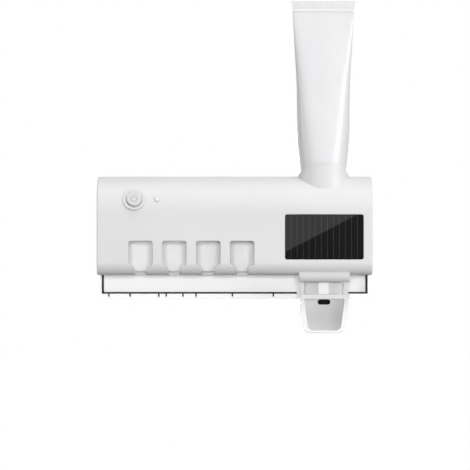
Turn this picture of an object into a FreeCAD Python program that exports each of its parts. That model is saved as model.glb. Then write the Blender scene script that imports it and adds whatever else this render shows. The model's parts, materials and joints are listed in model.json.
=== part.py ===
# Wall-hung toothbrush holder and steriliser with a toothpaste dispenser.
# Frame: the wall is the plane y = 0, the front faces -Y, +X is to the right, +Z is up.
# The origin is the centre of the adhesive face on the wall. Lengths are in millimetres.
import FreeCAD
import Part
import Sketcher

import math
import os
import re

Vector = FreeCAD.Vector

# Driving dimensions, by piece.
SIZES = {
    # Whole unit
    "body_width": 235.0,
    "skirt_height": 21.0,
    "crown_radius": 30.0,
    "chin_radius": 11.0,
    "wall": 2.2,
    "fit_gap": 0.2,
    "run_gap": 0.3,
    "cut_over": 2.0,
    # Wall plate and its adhesive pad
    "bracket_width": 120.0,
    "bracket_height": 50.0,
    "bracket_tongue": 3.0,
    "bracket_edge": 3.0,
    "bracket_stem": 1.6,
    "bracket_round": 4.0,
    "pad_thick": 1.0,
    "pad_inset": 3.0,
    # Rear housing
    "back_gap": 0.8,
    "plate_setback": 8.0,
    "plate_thick": 2.0,
    "plate_round": 3.0,
    "rail_wall": 2.0,
    "gutter_reach": 9.0,
    "gutter_wall": 1.8,
    "gutter_floor": 1.8,
    "lip_height": 4.4,
    "skirt_inset": 0.9,
    "side_wall": 1.4,
    "drain_width": 1.3,
    "drain_depth": 3.9,
    "bay_gap": 0.7,
    "pump_post_radius": 3.6,
    "pump_post_spread": 16.0,
    # Rubber strip in the gutter
    "strip_thick": 1.6,
    "strip_rise": 1.5,
    "strip_side": 1.7,
    # Front cover
    "end_round": 1.2,
    "slot_inset": 37.2,
    "slot_pitch": 28.9,
    "slot_width": 20.6,
    "slot_height": 20.9,
    "slot_rise": 29.15,
    "slot_round": 2.0,
    "slot_shoulder": 3.2,
    "neck_slot_width": 10.6,
    "neck_slot_depth": 22.0,
    "slot_edge_round": 0.5,
    "screw_post_radius": 3.2,
    "screw_post_length": 30.0,
    "screw_post_merge": 0.4,
    "upper_post_drop": 10.75,
    "lower_post_rise": 7.75,
    # Power button, its bezel and the indicator
    "button_inset": 31.9,
    "button_drop": 19.65,
    "button_radius": 6.6,
    "button_proud": 2.3,
    "button_edge_round": 0.9,
    "button_flange": 1.0,
    "button_flange_thick": 1.1,
    "button_stem_radius": 2.2,
    "button_travel": 0.8,
    "bezel_radius": 9.8,
    "bezel_proud": 0.7,
    "bezel_dish": 0.7,
    "bezel_land": 0.8,
    "bezel_depth": 3.4,
    "indicator_gap": 19.6,
    "indicator_radius": 2.4,
    "indicator_proud": 0.9,
    # Control board behind the button
    "board_depth": 10.0,
    "board_thick": 1.6,
    "board_width": 54.0,
    "board_height": 14.0,
    "board_post_radius": 2.4,
    "board_post_inset": 3.4,
    "switch_side": 6.2,
    "switch_height": 3.6,
    "plunger_radius": 1.7,
    "plunger_sink": 1.6,
    "led_side": 3.0,
    "led_height": 1.2,
    # Solar panel
    "solar_width": 66.8,
    "solar_height": 38.3,
    "solar_thick": 1.5,
    "solar_recess": 1.4,
    "solar_round": 1.7,
    "solar_rise": 32.65,
    "lead_hole": 4.0,
    # Chamber liner and its lamps
    "liner_left_over": 23.7,
    "liner_right_over": 18.6,
    "liner_over": 10.6,
    "liner_back": 10.5,
    "liner_thick": 1.5,
    "liner_bend": 14.0,
    "liner_foot": 2.95,
    "lamp_board_width": 8.0,
    "lamp_board_thick": 1.2,
    "lamp_board_over": 9.0,
    "lamp_setback": 24.0,
    "lamp_radius": 2.5,
    "lamp_height": 3.2,
    "lamp_dome": 2.25,
    # Battery and charging socket
    "cell_radius": 9.1,
    "cell_length": 65.0,
    "cell_gap": 84.3,
    "cell_lift": 16.0,
    "cell_cap_radius": 3.2,
    "cell_cap_height": 1.2,
    "cradle_wall": 1.8,
    "charge_lift": 7.0,
    "charge_reach": 17.0,
    "charge_width": 9.0,
    "charge_height": 3.2,
    "charge_length": 7.6,
    "charge_setback": 0.6,
    "charge_rim": 0.32,
    "charge_board_length": 10.2,
    "charge_board_width": 14.0,
    "charge_board_thick": 1.2,
    "charge_shelf": 1.8,
    # Screws
    "screw_radius": 1.25,
    "screw_length": 12.0,
    "screw_head_radius": 2.7,
    "screw_head_height": 1.6,
    "small_screw_radius": 0.9,
    "small_screw_length": 5.0,
    "small_head_radius": 1.7,
    "small_head_height": 1.1,
    # Tube collar on the cover
    "dispenser_inset": 41.2,
    "collar_back_gap": 1.2,
    "collar_front_gap": 6.8,
    "collar_wall": 2.2,
    "collar_rise": 10.25,
    "collar_depth": 14.3,
    "rim_angle": 28.6,
    # Toothpaste tube
    "tube_radius": 19.3,
    "tube_gap": 0.5,
    "tube_straight": 28.0,
    "tube_taper": 129.5,
    "tube_flat_width": 55.0,
    "tube_flat_thick": 1.6,
    "crimp_height": 8.4,
    "shoulder_angle": 30.0,
    "nozzle_radius": 6.2,
    "nozzle_length": 12.0,
    "nozzle_bore": 3.6,
    # Tube socket, seal and inlet valve
    "socket_wall": 1.9,
    "socket_rim": 1.8,
    "socket_inset": 0.39,
    "seal_bore_radius": 9.0,
    "socket_length": 22.2,
    "seal_gap": 0.15,
    "seal_groove": 0.8,
    "seal_lip": 2.2,
    "valve_flange": 1.8,
    "valve_cone_radius": 5.0,
    "valve_tip_radius": 1.2,
    "valve_cone_length": 6.2,
    "valve_skin": 1.2,
    "valve_slit": 0.4,
    "valve_slit_length": 1.92,
    # Pump
    "bore_radius": 6.5,
    "cylinder_wall": 3.0,
    "cylinder_length": 24.0,
    "cylinder_flange_radius": 12.0,
    "cylinder_flange": 3.0,
    "port_radius": 1.6,
    "port_drop": 6.2,
    "pump_ear_thick": 3.0,
    "bush_depth": 3.5,
    "bush_flange": 2.0,
    "rod_radius": 2.5,
    "piston_length": 6.0,
    "piston_gap": 2.0,
    "piston_groove": 1.2,
    "piston_groove_height": 2.2,
    "seal_run_gap": 0.08,
    "crosshead_height": 4.0,
    "crosshead_depth": 6.0,
    "spring_wire": 0.8,
    "spring_radius": 4.2,
    "spring_turns": 6.0,
    "spring_room": 16.05,
    "spring_end_gap": 0.1,
    # Outlet block and valve
    "duct_width": 8.9,
    "duct_depth": 4.6,
    "duct_wall": 1.2,
    "duct_setback": 10.2,
    "duct_bend": 6.0,
    "outlet_lift": 0.6,
    "outlet_boss_width": 15.0,
    "outlet_boss_height": 8.4,
    "outlet_width": 12.6,
    "outlet_height": 6.0,
    "outlet_sink": 2.0,
    "outlet_proud": 0.4,
    "outlet_slit": 0.5,
    "guard_gap": 0.9,
    "guard_thick": 1.8,
    # Push lever and its hinge
    "hinge_setback": 8.5,
    "hinge_drop": 0.55,
    "pin_radius": 1.25,
    "pin_gap": 0.06,
    "shroud_radius": 5.6,
    "shroud_half": 21.8,
    "shroud_wall": 1.4,
    "shroud_end": 1.5,
    "shroud_round": 1.2,
    "ear_radius": 3.6,
    "ear_width": 3.2,
    "arm_back": 3.7,
    "arm_front": 0.5,
    "crank_tip_radius": 2.0,
    "crank_height": 3.2,
    "scoop_drop": 15.8,
    "scoop_height": 32.9,
    "scoop_half": 20.7,
    "scoop_foot_half": 16.4,
    "scoop_straight": 16.9,
    "scoop_corner": 6.0,
    "scoop_depth": 9.3,
    "scoop_floor": 2.4,
    "scoop_setback": 3.3,
    "recess_top_rim": 4.1,
    "recess_side_rim": 3.6,
    "recess_bottom_rim": 2.2,
    "recess_foot_half": 13.7,
    "recess_corner": 4.3,
    "recess_round": 1.0,
    "window_width": 10.8,
    "window_height": 4.4,
    "window_drop": 6.7,
    "rim_round": 0.7,
}

# Places of the drain slits along the gutter, as shares of the half width of the unit.
DRAIN_SHARES = (-0.927, -0.771, -0.559, -0.504, -0.381, -0.285, -0.017, 0.285, 0.456, 0.848)
SPRING_SIDES = 8
PILL_SHARE = 0.48

# Formulas in the driving dimensions, used wherever pieces meet.
FORMULAS = {
    # Envelope: as deep as the tube collar and as tall as the pump train that the cover holds.
    "body_depth": "plate_setback + collar_back_gap + 2 * collar_radius + collar_front_gap",
    "train_height": "socket_length + cylinder_length + bush_flange + spring_room + crosshead_height",
    "cover_height": "collar_depth + fit_gap + train_height + run_gap + crank_tip_radius - hinge_drop",
    "frame_height": "cover_height + skirt_height",
    "body_top": "frame_height / 2",
    "frame_bottom": "-frame_height / 2",
    "cover_bottom": "body_top - cover_height",
    "crown_y": "-(body_depth - crown_radius)",
    "crown_z": "body_top - crown_radius",
    "inner_half": "body_width / 2 - wall",
    # Rear housing
    "plate_half": "inner_half - fit_gap",
    "skirt_half": "body_width / 2 - skirt_inset",
    "skirt_top": "cover_bottom - fit_gap",
    "plate_top": "body_top - wall - fit_gap",
    "plate_back": "plate_setback - plate_thick",
    "gutter_front": "plate_setback + gutter_reach",
    "lip_top": "frame_bottom + lip_height",
    "bay_half": "shroud_half + bay_gap",
    "post_x": "inner_half - screw_post_radius + screw_post_merge",
    "upper_post_z": "body_top - upper_post_drop",
    "lower_post_z": "cover_bottom + lower_post_rise",
    # Front of the cover
    "dispenser_x": "body_width / 2 - dispenser_inset",
    "solar_left": "dispenser_x - solar_width / 2",
    "solar_z": "cover_bottom + solar_rise",
    "slot_first_x": "-body_width / 2 + slot_inset",
    "slot_count": "floor((solar_left - slot_first_x) / slot_pitch)",
    "slot_last_x": "slot_first_x + (slot_count - 1) * slot_pitch",
    "slot_top": "cover_bottom + slot_rise",
    "button_x": "-body_width / 2 + button_inset",
    "button_z": "body_top - button_drop",
    "indicator_x": "button_x + indicator_gap",
    "crown_tilt": "asin((button_z - crown_z) / crown_radius)",
    "crown_turn": "90 deg - crown_tilt",
    # Inside the cover
    "board_x": "(button_x + indicator_x) / 2",
    "board_front": "-board_depth",
    "board_post_x": "board_width / 2 - board_post_inset",
    "liner_left": "slot_first_x - liner_left_over",
    "liner_right": "slot_last_x + liner_right_over",
    "liner_top": "slot_top + liner_over",
    "lamp_board_y": "-(body_depth - lamp_setback)",
    "cell_x": "dispenser_x - cell_gap",
    "cell_z": "liner_top + cell_lift",
    "charge_y": "-(plate_setback + charge_reach)",
    "charge_z": "liner_top + charge_lift",
    # Tube and its socket
    "collar_bore": "tube_radius + tube_gap",
    "collar_radius": "collar_bore + collar_wall",
    "collar_foot": "body_top - collar_depth",
    "rim_apex": "body_top + collar_rise",
    "tube_y": "-(plate_setback + collar_back_gap + collar_radius)",
    "socket_top": "collar_foot - fit_gap",
    "socket_bottom": "socket_top - socket_length",
    "cone_drop": "tan(shoulder_angle)",
    "seat_lift": "run_gap / cos(shoulder_angle)",
    "tube_bottom": "socket_top - (collar_bore - tube_radius) * cone_drop + seat_lift",
    "nozzle_top": "tube_bottom - (tube_radius - nozzle_radius) * cone_drop",
    "nozzle_tip": "nozzle_top - nozzle_length",
    "bore_mouth": "socket_top - (collar_bore - seal_bore_radius) * cone_drop",
    "valve_top": "nozzle_tip - run_gap",
    "valve_bottom": "valve_top - valve_flange",
    # Pump
    "cylinder_bottom": "socket_bottom - cylinder_length",
    "cylinder_radius": "bore_radius + cylinder_wall",
    "port_z": "socket_bottom - port_drop",
    "bush_bottom": "cylinder_bottom - bush_flange",
    "piston_low": "cylinder_bottom + bush_depth + piston_gap",
    "piston_top": "piston_low + piston_length",
    # Lever, its hinge and the outlet
    "hinge_y": "-(body_depth - hinge_setback)",
    "hinge_z": "cover_bottom - hinge_drop",
    "hinge_cavity": "shroud_radius - shroud_wall",
    "cavity_half": "shroud_half - shroud_end",
    "ear_out": "cavity_half - run_gap",
    "ear_in": "ear_out - ear_width",
    "crank_reach": "tube_y - hinge_y",
    "crosshead_bottom": "hinge_z + crank_tip_radius + run_gap",
    "crosshead_top": "crosshead_bottom + crosshead_height",
    "scoop_top": "hinge_z - scoop_drop",
    "scoop_bottom": "scoop_top - scoop_height",
    "scoop_waist": "scoop_top - scoop_straight",
    "scoop_back": "-hinge_y - scoop_setback",
    "window_z": "scoop_top - window_drop",
    "outlet_z": "window_z + outlet_lift",
    "guard_half": "ear_in - guard_gap",
    "duct_front": "-hinge_y - duct_setback",
    "duct_back": "duct_front - duct_depth",
    "upper_duct_back": "fit_gap + cylinder_radius - tube_y",
    "upper_duct_front": "upper_duct_back + duct_depth",
}

doc = FreeCAD.newDocument("toothpaste_dispenser")
sheet = doc.addObject("Spreadsheet::Sheet", "sizes")
for line, (alias, size) in enumerate(SIZES.items(), 1):
    sheet.set(f"A{line}", alias)
    sheet.set(f"B{line}", str(size))
    sheet.setAlias(f"B{line}", alias)
doc.recompute()

nodes = []


def formula(text):
    """An expression with named formulas opened out and sheet names given their sheet."""

    def open_word(match):
        word = match.group(0)
        if word in FORMULAS:
            return f"({formula(FORMULAS[word])})"
        return f"sizes.{word}" if word in SIZES else word

    return re.sub(r"[A-Za-z_]\w*", open_word, text)


def number(text):
    """The present value of an expression."""
    found = sheet.evalExpression(formula(text))
    return float(getattr(found, "Value", found))


def bind(thing, **expressions):
    """Ties properties to expressions; a double underscore in a name stands for a dot."""
    for name, text in expressions.items():
        thing.setExpression(name.replace("__", "."), formula(text))
    return thing


def keep(thing, label):
    """Marks an object as a finished sub-part under its own label."""
    thing.Label = label
    nodes.append(thing)
    return thing


def locate(thing, x, y, z):
    return bind(thing, Placement__Base__x=x, Placement__Base__y=y, Placement__Base__z=z)


def turn(thing, axis, angle):
    """Turns an object about an axis through its own base point."""
    thing.Placement = FreeCAD.Placement(Vector(), FreeCAD.Rotation(axis, number(angle)))
    return bind(thing, Placement__Rotation__Angle=angle)


def box(name, x, y, z, length, width, height):
    """A block from its lowest corner and its three extents."""
    made = doc.addObject("Part::Box", name)
    bind(made, Length=length, Width=width, Height=height)
    return locate(made, x, y, z)


X_AXIS = Vector(1, 0, 0)
Y_AXIS = Vector(0, 1, 0)


def rod(name, radius, length, x, y, z, along="Z"):
    """A cylinder from the centre of its lower end, along X, -Y or Z."""
    made = doc.addObject("Part::Cylinder", name)
    bind(made, Radius=radius, Height=length)
    if along == "X":
        turn(made, Y_AXIS, "90")
    elif along == "-Y":
        turn(made, X_AXIS, "90")
    return locate(made, x, y, z)


def cut(name, base, tool):
    made = doc.addObject("Part::Cut", name)
    made.Base = base
    made.Tool = tool
    return made


def fuse(name, *pieces):
    made = doc.addObject("Part::MultiFuse", name)
    made.Shapes = list(pieces)
    return made


def group(name, pieces):
    made = doc.addObject("Part::Compound", name)
    made.Links = list(pieces)
    return made


def new_body(name):
    return doc.addObject("PartDesign::Body", name)


def new_sketch(body, name, plane, away="0"):
    """A sketch on one of the body's own planes, moved along that plane's normal."""
    sketch = body.newObject("Sketcher::SketchObject", name)
    support = [f for f in body.Origin.OriginFeatures if f.Role == f"{plane}_Plane"][0]
    sketch.AttachmentSupport = (support, [""])
    sketch.MapMode = "FlatFace"
    return bind(sketch, AttachmentOffset__Base__z=away)


def fix_point(sketch, geometry, end, x, y):
    """Fixes a sketch point by two distances from the origin, each tied to an expression."""
    for kind, text in (("DistanceX", x), ("DistanceY", y)):
        at = sketch.addConstraint(Sketcher.Constraint(kind, -1, 1, geometry, end, number(text)))
        sketch.renameConstraint(at, f"{kind}_{at}")
        sketch.setExpression(f"Constraints.{kind}_{at}", formula(text))


def fix_radius(sketch, geometry, text):
    at = sketch.addConstraint(Sketcher.Constraint("Radius", geometry, number(text)))
    sketch.renameConstraint(at, f"Radius_{at}")
    sketch.setExpression(f"Constraints.Radius_{at}", formula(text))


def draw_loop(sketch, loop):
    """A closed outline. Each corner is (x, y) or (x, y, radius), where the radius rounds it."""
    count = len(loop)
    corners = [Vector(number(c[0]), number(c[1]), 0) for c in loop]
    arrive, leave, left_turn = [], [], []
    for i, corner in enumerate(corners):
        back = (corners[i - 1] - corner).normalize()
        ahead = (corners[(i + 1) % count] - corner).normalize()
        radius = number(loop[i][2]) if len(loop[i]) > 2 else 0.0
        trim = radius / math.tan(back.getAngle(ahead) / 2)
        arrive.append(corner + back * trim)
        leave.append(corner + ahead * trim)
        left_turn.append(back.cross(ahead).z < 0)
    lines = [
        sketch.addGeometry(Part.LineSegment(leave[i], arrive[(i + 1) % count])) for i in range(count)
    ]
    for i, spec in enumerate(loop):
        before, after = lines[i - 1], lines[i]
        if len(spec) == 2:
            sketch.addConstraint(Sketcher.Constraint("Coincident", before, 2, after, 1))
            fix_point(sketch, after, 1, spec[0], spec[1])
            continue
        inward = (arrive[i] + leave[i]) / 2 - corners[i]
        radius = number(spec[2])
        reach = math.hypot(radius, (arrive[i] - corners[i]).Length)
        centre = corners[i] + inward.normalize() * reach
        middle = centre + (corners[i] - centre).normalize() * radius
        arc = sketch.addGeometry(Part.Arc(arrive[i], middle, leave[i]))
        into, out = (1, 2) if left_turn[i] else (2, 1)
        corner = sketch.addGeometry(Part.Point(corners[i]), True)
        sketch.addConstraint(Sketcher.Constraint("Tangent", before, 2, arc, into))
        sketch.addConstraint(Sketcher.Constraint("Tangent", arc, out, after, 1))
        sketch.addConstraint(Sketcher.Constraint("PointOnObject", corner, 1, before))
        sketch.addConstraint(Sketcher.Constraint("PointOnObject", corner, 1, after))
        fix_radius(sketch, arc, spec[2])
        fix_point(sketch, corner, 1, spec[0], spec[1])


def outline(body, name, plane, *loops, away="0"):
    sketch = new_sketch(body, name, plane, away)
    for loop in loops:
        draw_loop(sketch, loop)
    return sketch


def circles(body, name, plane, *rounds, away="0"):
    """A sketch of circles, each given as (x, y, radius)."""
    sketch = new_sketch(body, name, plane, away)
    for x, y, radius in rounds:
        at = Vector(number(x), number(y), 0)
        circle = sketch.addGeometry(Part.Circle(at, Vector(0, 0, 1), number(radius)))
        fix_point(sketch, circle, 3, x, y)
        fix_radius(sketch, circle, radius)
    return sketch


def rectangle(x_low, y_low, x_high, y_high, radius=None):
    """The corners of an upright rectangle, all rounded alike where a radius is given."""
    corners = [(x_low, y_low), (x_high, y_low), (x_high, y_high), (x_low, y_high)]
    return [c + (radius,) for c in corners] if radius else corners


def extrude(body, kind, name, sketch, length, symmetric, flip):
    before = body.Shape.Volume if body.Tip else 0.0
    feature = body.newObject(f"PartDesign::{kind}", name)
    feature.Profile = sketch
    feature.SideType = "Symmetric" if symmetric else "One side"
    feature.Reversed = flip
    bind(feature, Length=length)
    doc.recompute()
    if abs(body.Shape.Volume - before) < 1e-6:
        raise RuntimeError(f"{name} changes nothing")
    return feature


def pad(body, name, sketch, length, symmetric=False, flip=False):
    return extrude(body, "Pad", name, sketch, length, symmetric, flip)


def pocket(body, name, sketch, length, symmetric=False, flip=False):
    return extrude(body, "Pocket", name, sketch, length, symmetric, flip)


def spin(name, *corners):
    """A body turned about its own Z axis from corners given as (radius, height[, rounding])."""
    body = new_body(name)
    sketch = outline(body, f"{name}_half", "XZ", list(corners))
    feature = body.newObject("PartDesign::Revolution", f"{name}_turned")
    feature.Profile = sketch
    feature.ReferenceAxis = (sketch, ["V_Axis"])
    feature.Angle = 360
    doc.recompute()
    return body


def fillet(body, name, radius, choose):
    """Rounds the edges of the body so far that the test picks out."""
    base = body.Tip
    picked = [f"Edge{i}" for i, edge in enumerate(base.Shape.Edges, 1) if choose(edge)]
    if not picked:
        raise RuntimeError(f"{name} finds no edge")
    feature = body.newObject("PartDesign::Fillet", name)
    feature.Base = (base, picked)
    bind(feature, Radius=radius)
    doc.recompute()
    return feature


def touches(edge, test):
    """True if every vertex of the edge and its middle pass the test."""
    middle = edge.valueAt((edge.FirstParameter + edge.LastParameter) / 2)
    return all(test(p) for p in [middle] + [v.Point for v in edge.Vertexes])


def near(a, b):
    return abs(a - b) < 1e-4


def on_crown(thing, x, lift, prefix="Placement"):
    """Stands an object's own Z axis square to the crown at the button's height."""
    rise = f"(crown_radius + {lift})"
    place = FreeCAD.Placement(Vector(), FreeCAD.Rotation(X_AXIS, number("crown_turn")))
    setattr(thing, prefix, place)
    thing.setExpression(f"{prefix}.Rotation.Angle", formula("crown_turn"))
    thing.setExpression(f"{prefix}.Base.x", formula(x))
    thing.setExpression(f"{prefix}.Base.y", formula(f"crown_y - {rise} * cos(crown_tilt)"))
    thing.setExpression(f"{prefix}.Base.z", formula(f"crown_z + {rise} * sin(crown_tilt)"))
    return thing


def screw(name, radius, length, head_radius, head_height):
    """A pan-head screw along its own +Z, with the underside of the head at its base."""
    shank = rod(f"{name}_shank", radius, length, "0", "0", "0")
    head = rod(f"{name}_head", head_radius, head_height, "0", "0", f"-{head_height}")
    return fuse(name, shank, head)


# Wall plate: a T section whose front tongue slides into the rails of the rear housing.
def make_wall_plate():
    body = new_body("wall_plate")
    half, tall = "bracket_width / 2", "bracket_height / 2"
    stem = f"({half} - bracket_edge)"
    rear = outline(
        body, "plate_stem", "XZ",
        rectangle(f"-{stem}", f"-{tall}", stem, tall),
        away="pad_thick",
    )
    pad(body, "plate_stem_pad", rear, "bracket_stem")
    front = outline(
        body, "plate_tongue", "XZ",
        rectangle(f"-{half}", f"-{tall}", half, tall, "bracket_round"),
        away="pad_thick + bracket_stem",
    )
    pad(body, "plate_tongue_pad", front, "bracket_tongue")
    keep(body, "wall_plate")

    foam = new_body("adhesive_pad")
    edge, end = f"({stem} - pad_inset)", f"({tall} - pad_inset)"
    face = outline(foam, "pad_face", "XZ", rectangle(f"-{edge}", f"-{end}", edge, end, "bracket_round"))
    pad(foam, "pad_foam", face, "pad_thick")
    keep(foam, "adhesive_pad")


# Rear housing: the back plate, the drip gutter below the cover, and the rails of the wall plate.
def make_rear_housing():
    body = new_body("rear_housing")
    plate = outline(
        body, "back_plate", "XZ",
        rectangle("-plate_half", "frame_bottom", "plate_half", "plate_top", "plate_round"),
        away="plate_back",
    )
    pad(body, "back_plate_pad", plate, "plate_thick")
    skirt = outline(
        body, "skirt", "XZ", rectangle("-skirt_half", "frame_bottom", "skirt_half", "skirt_top"),
        away="plate_back",
    )
    pad(body, "skirt_pad", skirt, "plate_thick")
    gutter = outline(
        body, "gutter", "YZ",
        [
            ("-plate_setback", "frame_bottom"),
            ("-plate_setback", "frame_bottom + gutter_floor"),
            ("-gutter_front + gutter_wall", "frame_bottom + gutter_floor"),
            ("-gutter_front + gutter_wall", "lip_top"),
            ("-gutter_front", "lip_top"),
            ("-gutter_front", "frame_bottom"),
        ],
    )
    pad(body, "gutter_pad", gutter, "2 * skirt_half", symmetric=True)
    sides = [
        rectangle("-skirt_half", "frame_bottom", "-skirt_half + side_wall", "skirt_top"),
        rectangle("skirt_half - side_wall", "frame_bottom", "skirt_half", "skirt_top"),
    ]
    walls = outline(body, "gutter_ends", "XZ", *sides, away="plate_setback")
    pad(body, "gutter_ends_pad", walls, "gutter_reach")
    bay = outline(
        body, "dispenser_bay", "XZ",
        rectangle(
            "dispenser_x - bay_half", "frame_bottom - cut_over",
            "dispenser_x + bay_half", "lip_top + cut_over",
        ),
        away="gutter_front + cut_over",
    )
    pocket(body, "dispenser_bay_cut", bay, "gutter_reach + cut_over")
    slits = [
        rectangle(
            f"{share} * body_width / 2 - drain_width / 2", "lip_top - drain_depth",
            f"{share} * body_width / 2 + drain_width / 2", "lip_top + cut_over",
        )
        for share in DRAIN_SHARES
        if abs(share * number("body_width / 2") - number("dispenser_x")) > number("bay_half + drain_width")
    ]
    drains = outline(body, "drain_slits", "XZ", *slits, away="gutter_front + cut_over")
    pocket(body, "drain_slits_cut", drains, "gutter_wall + cut_over")
    inner = "(bracket_width / 2 + run_gap)"
    reach = "bracket_height / 2"
    rails = [
        rectangle(f"-{inner} - rail_wall", f"-{reach}", f"-{inner}", f"{reach} + fit_gap + rail_wall"),
        rectangle(inner, f"-{reach}", f"{inner} + rail_wall", f"{reach} + fit_gap + rail_wall"),
        rectangle(f"-{inner}", f"{reach} + fit_gap", inner, f"{reach} + fit_gap + rail_wall"),
    ]
    for i, loop in enumerate(rails):
        sketch = outline(body, f"rail_{i}", "XZ", loop, away="back_gap")
        pad(body, f"rail_{i}_pad", sketch, "plate_back - back_gap")
    hook = "(bracket_edge - run_gap)"
    hooks = [
        rectangle(f"-{inner}", f"-{reach}", f"-{inner} + {hook}", reach),
        rectangle(f"{inner} - {hook}", f"-{reach}", inner, reach),
    ]
    lips = outline(body, "rail_lips", "XZ", *hooks, away="back_gap")
    pad(body, "rail_lips_pad", lips, "pad_thick + bracket_stem - run_gap - back_gap")
    posts = circles(
        body, "pump_posts", "XZ",
        *[(f"dispenser_x {s} pump_post_spread", "port_z", "pump_post_radius") for s in "+-"],
        away="plate_setback",
    )
    pad(body, "pump_posts_pad", posts, "-tube_y - plate_setback - pump_ear_thick / 2")
    post_holes = circles(
        body, "pump_post_holes", "XZ",
        *[
            (f"dispenser_x {s} pump_post_spread", "port_z", "small_screw_radius + fit_gap / 2")
            for s in "+-"
        ],
        away="-tube_y",
    )
    pocket(body, "pump_post_holes_cut", post_holes, "small_screw_length + cut_over")
    holes = circles(
        body, "cover_screw_holes", "XZ",
        *[
            (f"{s}post_x", height, "screw_radius + fit_gap")
            for s in ("-", "")
            for height in ("upper_post_z", "lower_post_z")
        ],
        away="plate_setback + cut_over",
    )
    pocket(body, "cover_screw_holes_cut", holes, "plate_thick + 2 * cut_over")
    keep(body, "rear_housing")


# Rubber strip that lines the gutter and frames the splash panel.
def make_rest_strip():
    outer = "(skirt_half - side_wall - fit_gap)"
    inner = f"({outer} - strip_side)"
    foot, head = "frame_bottom + gutter_floor + fit_gap", "lip_top + strip_rise"
    roof = "skirt_top"
    near_bay, far_bay = "dispenser_x - bay_half", "dispenser_x + bay_half"
    left = [
        (f"-{outer}", foot), (near_bay, foot), (near_bay, head),
        (f"-{inner}", head), (f"-{inner}", roof), (f"-{outer}", roof),
    ]
    right = [
        (far_bay, foot), (outer, foot), (outer, roof), (inner, roof), (inner, head), (far_bay, head),
    ]
    halves = []
    for side, loop in (("left", left), ("right", right)):
        half = new_body(f"strip_{side}_body")
        away = "gutter_front - gutter_wall - fit_gap - strip_thick"
        face = outline(half, f"strip_{side}", "XZ", loop, away=away)
        pad(half, f"strip_{side}_pad", face, "strip_thick")
        halves.append(half)
    keep(group("rest_strips", halves), "rest_strip")


# Front cover: the curved shell with the brush slots, the tube collar and the hinge shroud.
def make_front_cover():
    body = new_body("front_cover")
    skin = outline(
        body, "skin", "YZ",
        [
            ("-back_gap", "cover_bottom"),
            ("-back_gap", "body_top"),
            ("-body_depth", "body_top", "crown_radius"),
            ("-body_depth", "cover_bottom", "chin_radius"),
        ],
    )
    pad(body, "skin_pad", skin, "body_width", symmetric=True)
    end = number("body_width / 2")
    rear = -number("back_gap")

    def at_end(p):
        return near(abs(p.x), end)

    def at_rear(p):
        return near(p.y, rear)

    fillet(
        body, "end_rounds", "end_round",
        lambda edge: touches(edge, at_end) and not touches(edge, at_rear),
    )
    hollow = outline(
        body, "hollow", "YZ",
        [
            ("cut_over", "cover_bottom - cut_over"),
            ("cut_over", "body_top - wall"),
            ("-body_depth + wall", "body_top - wall", "crown_radius - wall"),
            ("-body_depth + wall", "cover_bottom + wall", "chin_radius - wall"),
            ("-plate_setback - fit_gap", "cover_bottom + wall"),
            ("-plate_setback - fit_gap", "cover_bottom - cut_over"),
        ],
    )
    pocket(body, "hollow_cut", hollow, "2 * inner_half", symmetric=True)
    add_screw_posts(body)
    add_collar(body)
    add_shroud(body)
    add_brush_slots(body)
    add_button_holes(body)
    add_solar_recess(body)
    add_charge_opening(body)
    keep(body, "front_cover")


def add_screw_posts(body):
    places = [(f"{s}post_x", z) for s in ("-", "") for z in ("upper_post_z", "lower_post_z")]
    away = "plate_setback + fit_gap"
    posts = circles(body, "screw_posts", "XZ", *[(x, z, "screw_post_radius") for x, z in places], away=away)
    pad(body, "screw_posts_pad", posts, "screw_post_length")
    holes = circles(
        body, "screw_pilots", "XZ",
        *[(x, z, "screw_radius + fit_gap / 2") for x, z in places],
        away="plate_setback + fit_gap + screw_length",
    )
    pocket(body, "screw_pilots_cut", holes, "screw_length + cut_over")


def add_collar(body):
    """A round collar whose rim slopes: high at the front, flush with the top at the back."""
    sleeve = circles(body, "collar", "XY", ("dispenser_x", "tube_y", "collar_radius"), away="collar_foot")
    pad(body, "collar_pad", sleeve, "rim_apex - collar_foot")
    front = "tube_y - collar_radius"
    flush = f"{front} + collar_rise / tan(rim_angle)"
    slope = outline(
        body, "rim_slope", "YZ",
        [
            (front, "rim_apex"),
            (flush, "body_top"),
            ("tube_y + collar_radius + cut_over", "body_top"),
            ("tube_y + collar_radius + cut_over", "rim_apex + cut_over"),
            (front, "rim_apex + cut_over"),
        ],
        away="dispenser_x",
    )
    pocket(body, "rim_slope_cut", slope, "2 * (collar_radius + cut_over)", symmetric=True)
    bore = circles(
        body, "collar_bore", "XY", ("dispenser_x", "tube_y", "collar_bore"),
        away="rim_apex + cut_over",
    )
    pocket(body, "collar_bore_cut", bore, "rim_apex - collar_foot + 2 * cut_over")


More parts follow.
